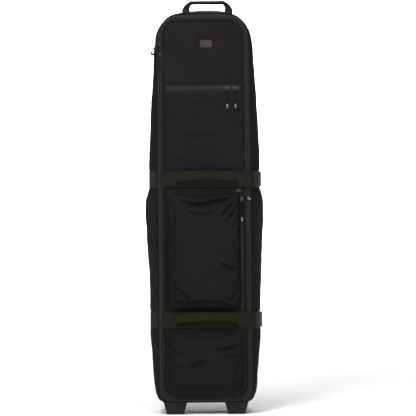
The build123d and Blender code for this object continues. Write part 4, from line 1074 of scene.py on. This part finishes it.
def make_strap(level, z, width):
    """One compression strap: hinge side, front, and round to its buckle, with the tongue to the back."""
    front = rounded([(FRONT_LEFT, FLAT_Y, z), (CORNER_X, FLAT_Y, z), (0.1462, -0.1318, z), (0.1500, -0.1215, z)],
                    0.0025, 5)
    front[:, 2] += 0.0012 * np.sin((front[:, 0] - FRONT_LEFT) * 17)
    ribbon(f"strap_{level}_webbing", front, width, WEB_THICK, UP, WEBBING, DOOR,
           (f"strap_{level}_front",))
    first = np.array([[-0.1345, -0.1340, z], [-0.1395, -0.1318, z]])
    y_left = np.concatenate([np.linspace(-0.122, 0.118, 90), np.linspace(0.120, 0.140, 10)])
    skin = side_surface(z, y_left, -1) + (-0.0018, 0, 0)
    skin[0] += (-0.0012, 0, 0)
    left = rounded(np.concatenate([first, skin]), 0.003, 6)
    ribbon(f"strap_{level}_left", left, width, WEB_THICK, UP, WEBBING, CASE,
           ("left_straps",) if level == "upper" else ())
    hinge_path = rounded([(-0.1350, -0.1342, z), (-0.1290, -0.1420, z), (-0.1205, FLAT_Y, z)], 0.0012, 4)
    bend = ribbon(f"strap_{level}_bend", hinge_path, width - 0.0004, 0.0024, UP, WEBBING, None)
    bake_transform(bend)
    y_right = np.linspace(-0.060, 0.140, 84)
    skin = side_surface(z, y_right, 1) + (0.0018, 0, 0)
    right = rounded(skin, 0.003, 6)
    ribbon(f"strap_{level}_right", right, width - 0.010, WEB_THICK, UP, WEBBING, CASE,
           ("right_straps",) if level == "upper" else ())
    runs = edge_runs(front, UP, width / 2 - 0.003, (0, -0.0012, 0))
    stitches(f"strap_{level}_edge_thread", runs, DOOR)
    anchors = []
    for end, margin, lift in ((left[-6], 0.005, -0.0013), (right[-6], 0.010, 0.0013)):
        centre = (end[0], end[1] - 0.012, z)
        anchors += box_stitch(centre, (0, 1, 0), UP, 0.014, width / 2 - margin, (lift, 0, 0))
    stitches(f"strap_{level}_anchor_thread", anchors, CASE)


make_strap("upper", UPPER_Z, STRAP_UPPER[1][2] - STRAP_UPPER[0][2])
make_strap("lower", LOWER_Z, STRAP_LOWER[1][2] - STRAP_LOWER[0][2])


def make_grip(node):
    """Folded-webbing carry grip: flat sewn ends and a rolled arch between them."""
    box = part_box(node)
    z = (box[0][2] + box[1][2]) / 2
    level = node.split("_")[1]
    base_y = box[1][1] - 0.0012
    left, right = box[0][0], box[1][0]
    across = np.array((0, 0, 1.0))
    arch = []
    for t in np.linspace(0, 1, 60):
        x = -0.088 + 0.189 * t
        swell = math.sin(math.pi * t)
        out = (base_y - box[0][1] - 0.0035) * swell ** 0.62
        arch.append((x, base_y - out, z + 0.0075 * swell ** 0.3 + 0.005 * swell))
    start = [(left, base_y, z), (left + 0.028, base_y, z)]
    finish = [(right - 0.018, base_y, z), (right, base_y, z)]
    path = rounded(start + arch[1:-1] + finish, 0.0025, 4)
    run = run_along(path)
    total = run[-1]
    end = np.clip(np.minimum(run - 0.024, total - 0.016 - run) / 0.016, 0, 1)
    end = end * end * (3 - 2 * end)
    width = 0.0435 + (0.0255 - 0.0435) * end
    thick = 0.0026 + (0.0066 - 0.0026) * end
    made = ribbon(node + "_webbing", path, width, thick, across, WEBBING, DOOR, (node,))
    add_modifier(made, "SUBSURF", levels=1, render_levels=1)
    fold = path[(end > 0.9)]
    seam = fold + np.array((0, -0.0040, -0.0098))
    stitches(f"grip_{level}_fold_thread", [seam], DOOR)
    threads = box_stitch((left + 0.012, base_y, z), (1, 0, 0), across, 0.0095, 0.0180, (0, -0.0019, 0))
    threads += box_stitch((right - 0.008, base_y, z), (1, 0, 0), across, 0.0065, 0.0180, (0, -0.0019, 0))
    stitches(f"grip_{level}_box_thread", threads, DOOR)


make_grip("grip_upper")
make_grip("grip_lower")


def make_top_handle():
    """A webbing handle whose flat legs face the front, gathered into a padded grip."""
    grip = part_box("top_handle_grip")
    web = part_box("top_handle_webbing")
    y = (grip[0][1] + grip[1][1]) / 2
    middle = (grip[0][0] + grip[1][0]) / 2
    top = (grip[0][2] + grip[1][2]) / 2
    half = (grip[1][0] - grip[0][0]) / 2
    foot = (web[1][0] - web[0][0]) / 2 - 0.0125
    foot_z = web[0][2] + 0.0006
    rise = [(-foot, foot_z), (-foot + 0.0015, foot_z + 0.008), (-half - 0.0035, top - 0.006), (-half + 0.004, top)]
    path = rounded([(middle + x, y, z) for x, z in rise] + [(middle - x, y, z) for x, z in rise[::-1]], 0.0022, 7)
    tangent = unit(np.gradient(path, axis=0))
    across = np.stack([-tangent[:, 2], np.zeros(len(path)), tangent[:, 0]], axis=1)
    gather = np.clip((path[:, 2] - foot_z - 0.002) / 0.020, 0, 1)
    ribbon("handle_webbing", path, 0.0240 - 0.0125 * gather, 0.0024 + 0.0022 * gather, across, WEBBING,
           "top_handle", ("top_handle_webbing",))
    verts = []
    uvs = []
    rows = 110
    sides = 30
    half_y = (grip[1][1] - grip[0][1]) / 2
    half_z = (grip[1][2] - grip[0][2]) / 2
    for k in range(rows):
        t = k / (rows - 1)
        x = grip[0][0] + (grip[1][0] - grip[0][0]) * t
        end = min(t, 1 - t) * (rows - 1)
        close = 1 - 0.34 * max(0, 1 - end / 3.0) ** 2
        rib = 1 + 0.014 * math.sin(t * math.pi * 52)
        for j in range(sides):
            turn = 2 * math.pi * j / sides
            c, s = math.cos(turn), math.sin(turn)
            ry = half_y * math.copysign(abs(c) ** 0.85, c) * close * rib
            rz = half_z * math.copysign(abs(s) ** 0.85, s) * close * rib
            verts.append((x, y + ry * 0.985, top + rz * 0.985))
            uvs.append((x, turn * half_y))
    faces = grid_faces(rows, sides, closed=True)
    faces += end_caps(rows, sides)
    piece("handle_grip", verts, faces, PIPING, "top_handle", ("top_handle_grip",), uvs)
    seam = [(x, grip[0][1] + 0.0006, top - 0.0028) for x in (grip[0][0] + 0.003, grip[1][0] - 0.003)]
    stitches("handle_grip_thread", [seam], "top_handle")
    side = np.array((1.0, 0, 0))
    for name, x in (("left", middle - foot), ("right", middle + foot)):
        y_line = np.linspace(-0.1035, -0.1265, 12)
        base = np.stack([np.full(12, x), y_line, np.full(12, 1.10)], axis=1)
        lie = march(base, np.tile((0.0, 0.0, 1.0), (12, 1)), case_field) + (0, -0.0008, 0.0020)
        ribbon(f"handle_tab_{name}", lie, 0.0246, 0.0024, side, WEBBING, CASE,
               ("top_handle_anchors",) if x > middle else ())
        knee = [(x, y, foot_z + 0.0040), (x, y, foot_z), tuple(lie[0] + (0, 0.0012, 0.0004)), tuple(lie[3])]
        bend_path = rounded(knee, 0.0012, 4)
        bend = ribbon(f"handle_bend_{name}", bend_path, 0.0243, 0.0026, side, WEBBING, None)
        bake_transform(bend)
        centre = (lie[6] + lie[7]) / 2
        threads = box_stitch(centre, unit(lie[-1] - lie[0]), side, 0.0075, 0.0090, (0, -0.0006, 0.0012))
        stitches(f"handle_tab_thread_{name}", threads, CASE)


make_top_handle()


# ---- inside of the case ---------------------------------------------------------------------------------
def make_hood_foam():
    """Quilted foam round the club heads, inside the upper part of the case."""
    outer = case_surface(0.0062, 24, 8, 10, PART_Y + 0.022)
    inner = case_surface(0.0168, 24, 8, 10, PART_Y + 0.022)
    height = outer[:, :, 2]
    quilt = np.abs(np.sin(outer[:, :, 2] * 62)) ** 0.5 * np.abs(np.sin((outer[:, :, 1] + 0.02) * 56)) ** 0.5
    inner = inner + (outer - inner) * (0.26 * (1 - quilt))[:, :, None]
    rows, columns = outer.shape[:2]
    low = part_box("hood_padding")[0][2]
    count = rows * columns
    points = np.concatenate([outer.reshape(-1, 3), inner.reshape(-1, 3)])
    keep = height.ravel() > low
    outer_faces = [f for f in grid_faces(rows, columns, closed=True) if all(keep[v] for v in f)]
    inner_faces = [tuple(count + v for v in reversed(f)) for f in outer_faces]
    edges = {}
    for f in outer_faces:
        for a, b in zip(f, f[1:] + f[:1]):
            edges[(a, b)] = True
    rim = [(b, a, a + count, b + count) for a, b in edges if (b, a) not in edges]
    uv = surface_uv(outer)
    used = sorted({v for f in inner_faces + outer_faces for v in f})
    index = {v: k for k, v in enumerate(used)}
    faces = [tuple(index[v] for v in f) for f in inner_faces + outer_faces + rim]
    made = piece("hood_foam", points[used], faces, LINING, CASE, ("hood_padding",),
                 np.concatenate([uv, uv])[used])


make_hood_foam()


def make_inner_straps():
    """Two straps with buckles that hold the golf bag against the back."""
    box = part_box("inner_straps")
    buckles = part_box("inner_buckles")
    for level, z in (("low", buckles[0][2] + 0.023), ("high", buckles[1][2] - 0.023)):
        path = []
        for x in np.linspace(box[0][0], box[1][0], 60):
            bow = math.sin(math.pi * min(max((x + 0.099) / 0.198, 0), 1))
            path.append((x, 0.1720 - 0.0018 * bow, z))
        ribbon(f"inner_strap_{level}", path, 0.037, 0.0020, UP, WEBBING, CASE,
               ("inner_straps",) if level == "low" else ())
        runs = []
        for x in (box[0][0] + 0.014, box[1][0] - 0.014):
            runs += box_stitch((x, 0.1712, z), (1, 0, 0), UP, 0.010, 0.014, (0, -0.0006, 0))
        stitches(f"inner_strap_thread_{level}", runs, CASE)


make_inner_straps()


# ---- rigid parts keep their shape -------------------------------------------------------------------------
RIGID = [("back_stiffener", BOARD, 0.0006), ("base_board", BOARD, 0.0008), ("base_screws", STEEL, 0.0003),
         ("inner_buckles", PLASTIC, 0.0008), ("skid_rails", HOUSING, 0.0012), ("badge", BADGE, 0.0003)]
for side_name in ("left", "right"):
    RIGID += [(f"foot_{side_name}", FOOT_RUBBER, 0.0022), (f"wheel_housing_{side_name}", HOUSING, 0.0008),
              (f"axle_{side_name}", STEEL, 0.0005), (f"tyre_{side_name}", TYRE, 0.0010),
              (f"hub_{side_name}", HUB, 0.0006), (f"bearings_{side_name}", STEEL, 0.0003)]
for level_name in ("upper", "lower"):
    RIGID += [(f"buckle_socket_{level_name}", PLASTIC, 0.0009), (f"buckle_plug_{level_name}", PLASTIC, 0.0007)]
for rigid, finish, width in RIGID:
    use_node(rigid, finish, width)
for cad_name in frame["nodes"]:
    if cad_name.startswith("slider_"):
        use_node(cad_name, ENAMEL, 0.00035, 2)


# ---- floor, light and camera ---------------------------------------------------------------------------------
def make_studio():
    """A pale paper floor that curves up into a backdrop far behind the case."""
    rows = []
    sweep = ((-11.0, 0.0), (10.2, 0.0), (11.0, 0.08), (11.7, 0.36), (12.1, 0.85), (12.3, 1.5), (12.4, 6.0))
    for y, z in sweep:
        rows.append([(x, y, z) for x in np.linspace(-11, 11, 7)])
    points = np.array(rows).reshape(-1, 3)
    mesh = bpy.data.meshes.new("studio_floor")
    mesh.from_pydata([tuple(p) for p in points], [], grid_faces(7, 7))
    mesh.polygons.foreach_set("use_smooth", [True] * len(mesh.polygons))
    material, tree, shader = new_material("paper_white", 0.9, Specular_IOR_Level=0.1)
    paper = noise_field(tree, object_vector(tree), 300.0, 2.0)
    tree.links.new(mix_colour(tree, paper, (0.86, 0.86, 0.86), (0.89, 0.89, 0.89)), shader.inputs["Base Color"])
    mesh.materials.append(material)
    floor = bpy.data.objects.new("studio_floor", mesh)
    bpy.context.scene.collection.objects.link(floor)
    add_modifier(floor, "SUBSURF", levels=2, render_levels=2)


def soft_light(name, place, aim, size, power):
    """A rectangular area light at place, turned towards aim."""
    data = bpy.data.lights.new(name, "AREA")
    data.shape = "RECTANGLE"
    data.size, data.size_y = size
    data.energy = power
    made = bpy.data.objects.new(name, data)
    made.location = place
    made.rotation_euler = (Vector(aim) - Vector(place)).to_track_quat("-Z", "Y").to_euler()
    bpy.context.scene.collection.objects.link(made)


make_studio()
soft_light("key", (-1.3, -4.2, 3.4), (0, 0, 0.65), (1.4, 1.4), 230)
soft_light("fill", (2.2, -4.2, 1.6), (0, 0, 0.6), (2.4, 2.4), 60)
soft_light("overhead", (0.0, -1.4, 3.9), (0, 0, 0.6), (3.0, 1.6), 120)
soft_light("backdrop_light", (0.0, 9.6, 3.2), (0.0, 12.4, 0.9), (4.6, 1.4), 420)
soft_light("floor_light", (0.0, 6.6, 3.6), (0.0, 6.6, 0.0), (5.0, 5.0), 330)

world = bpy.data.worlds.new("studio")
world.use_nodes = True
world.node_tree.nodes["Background"].inputs["Color"].default_value = (1, 1, 1, 1)
world.node_tree.nodes["Background"].inputs["Strength"].default_value = 0.22
bpy.context.scene.world = world
bpy.context.scene.view_settings.view_transform = "Standard"
bpy.context.scene.view_settings.look = "None"

camera_data = bpy.data.cameras.new("front_camera")
camera_data.sensor_width = 36.0
camera_data.sensor_height = 36.0
VIEW_DISTANCE = 8.99
VIEW_HEIGHT = 1.2763     # what the frame shows at that distance
camera_data.lens = camera_data.sensor_width * VIEW_DISTANCE / VIEW_HEIGHT
camera = bpy.data.objects.new("front_camera", camera_data)
camera.location = (0.0106, -9.0 + PANEL_Y + 0.05, 0.634)
camera.rotation_euler = (math.radians(90), math.radians(0.45), 0)
bpy.context.scene.collection.objects.link(camera)
bpy.context.scene.camera = camera
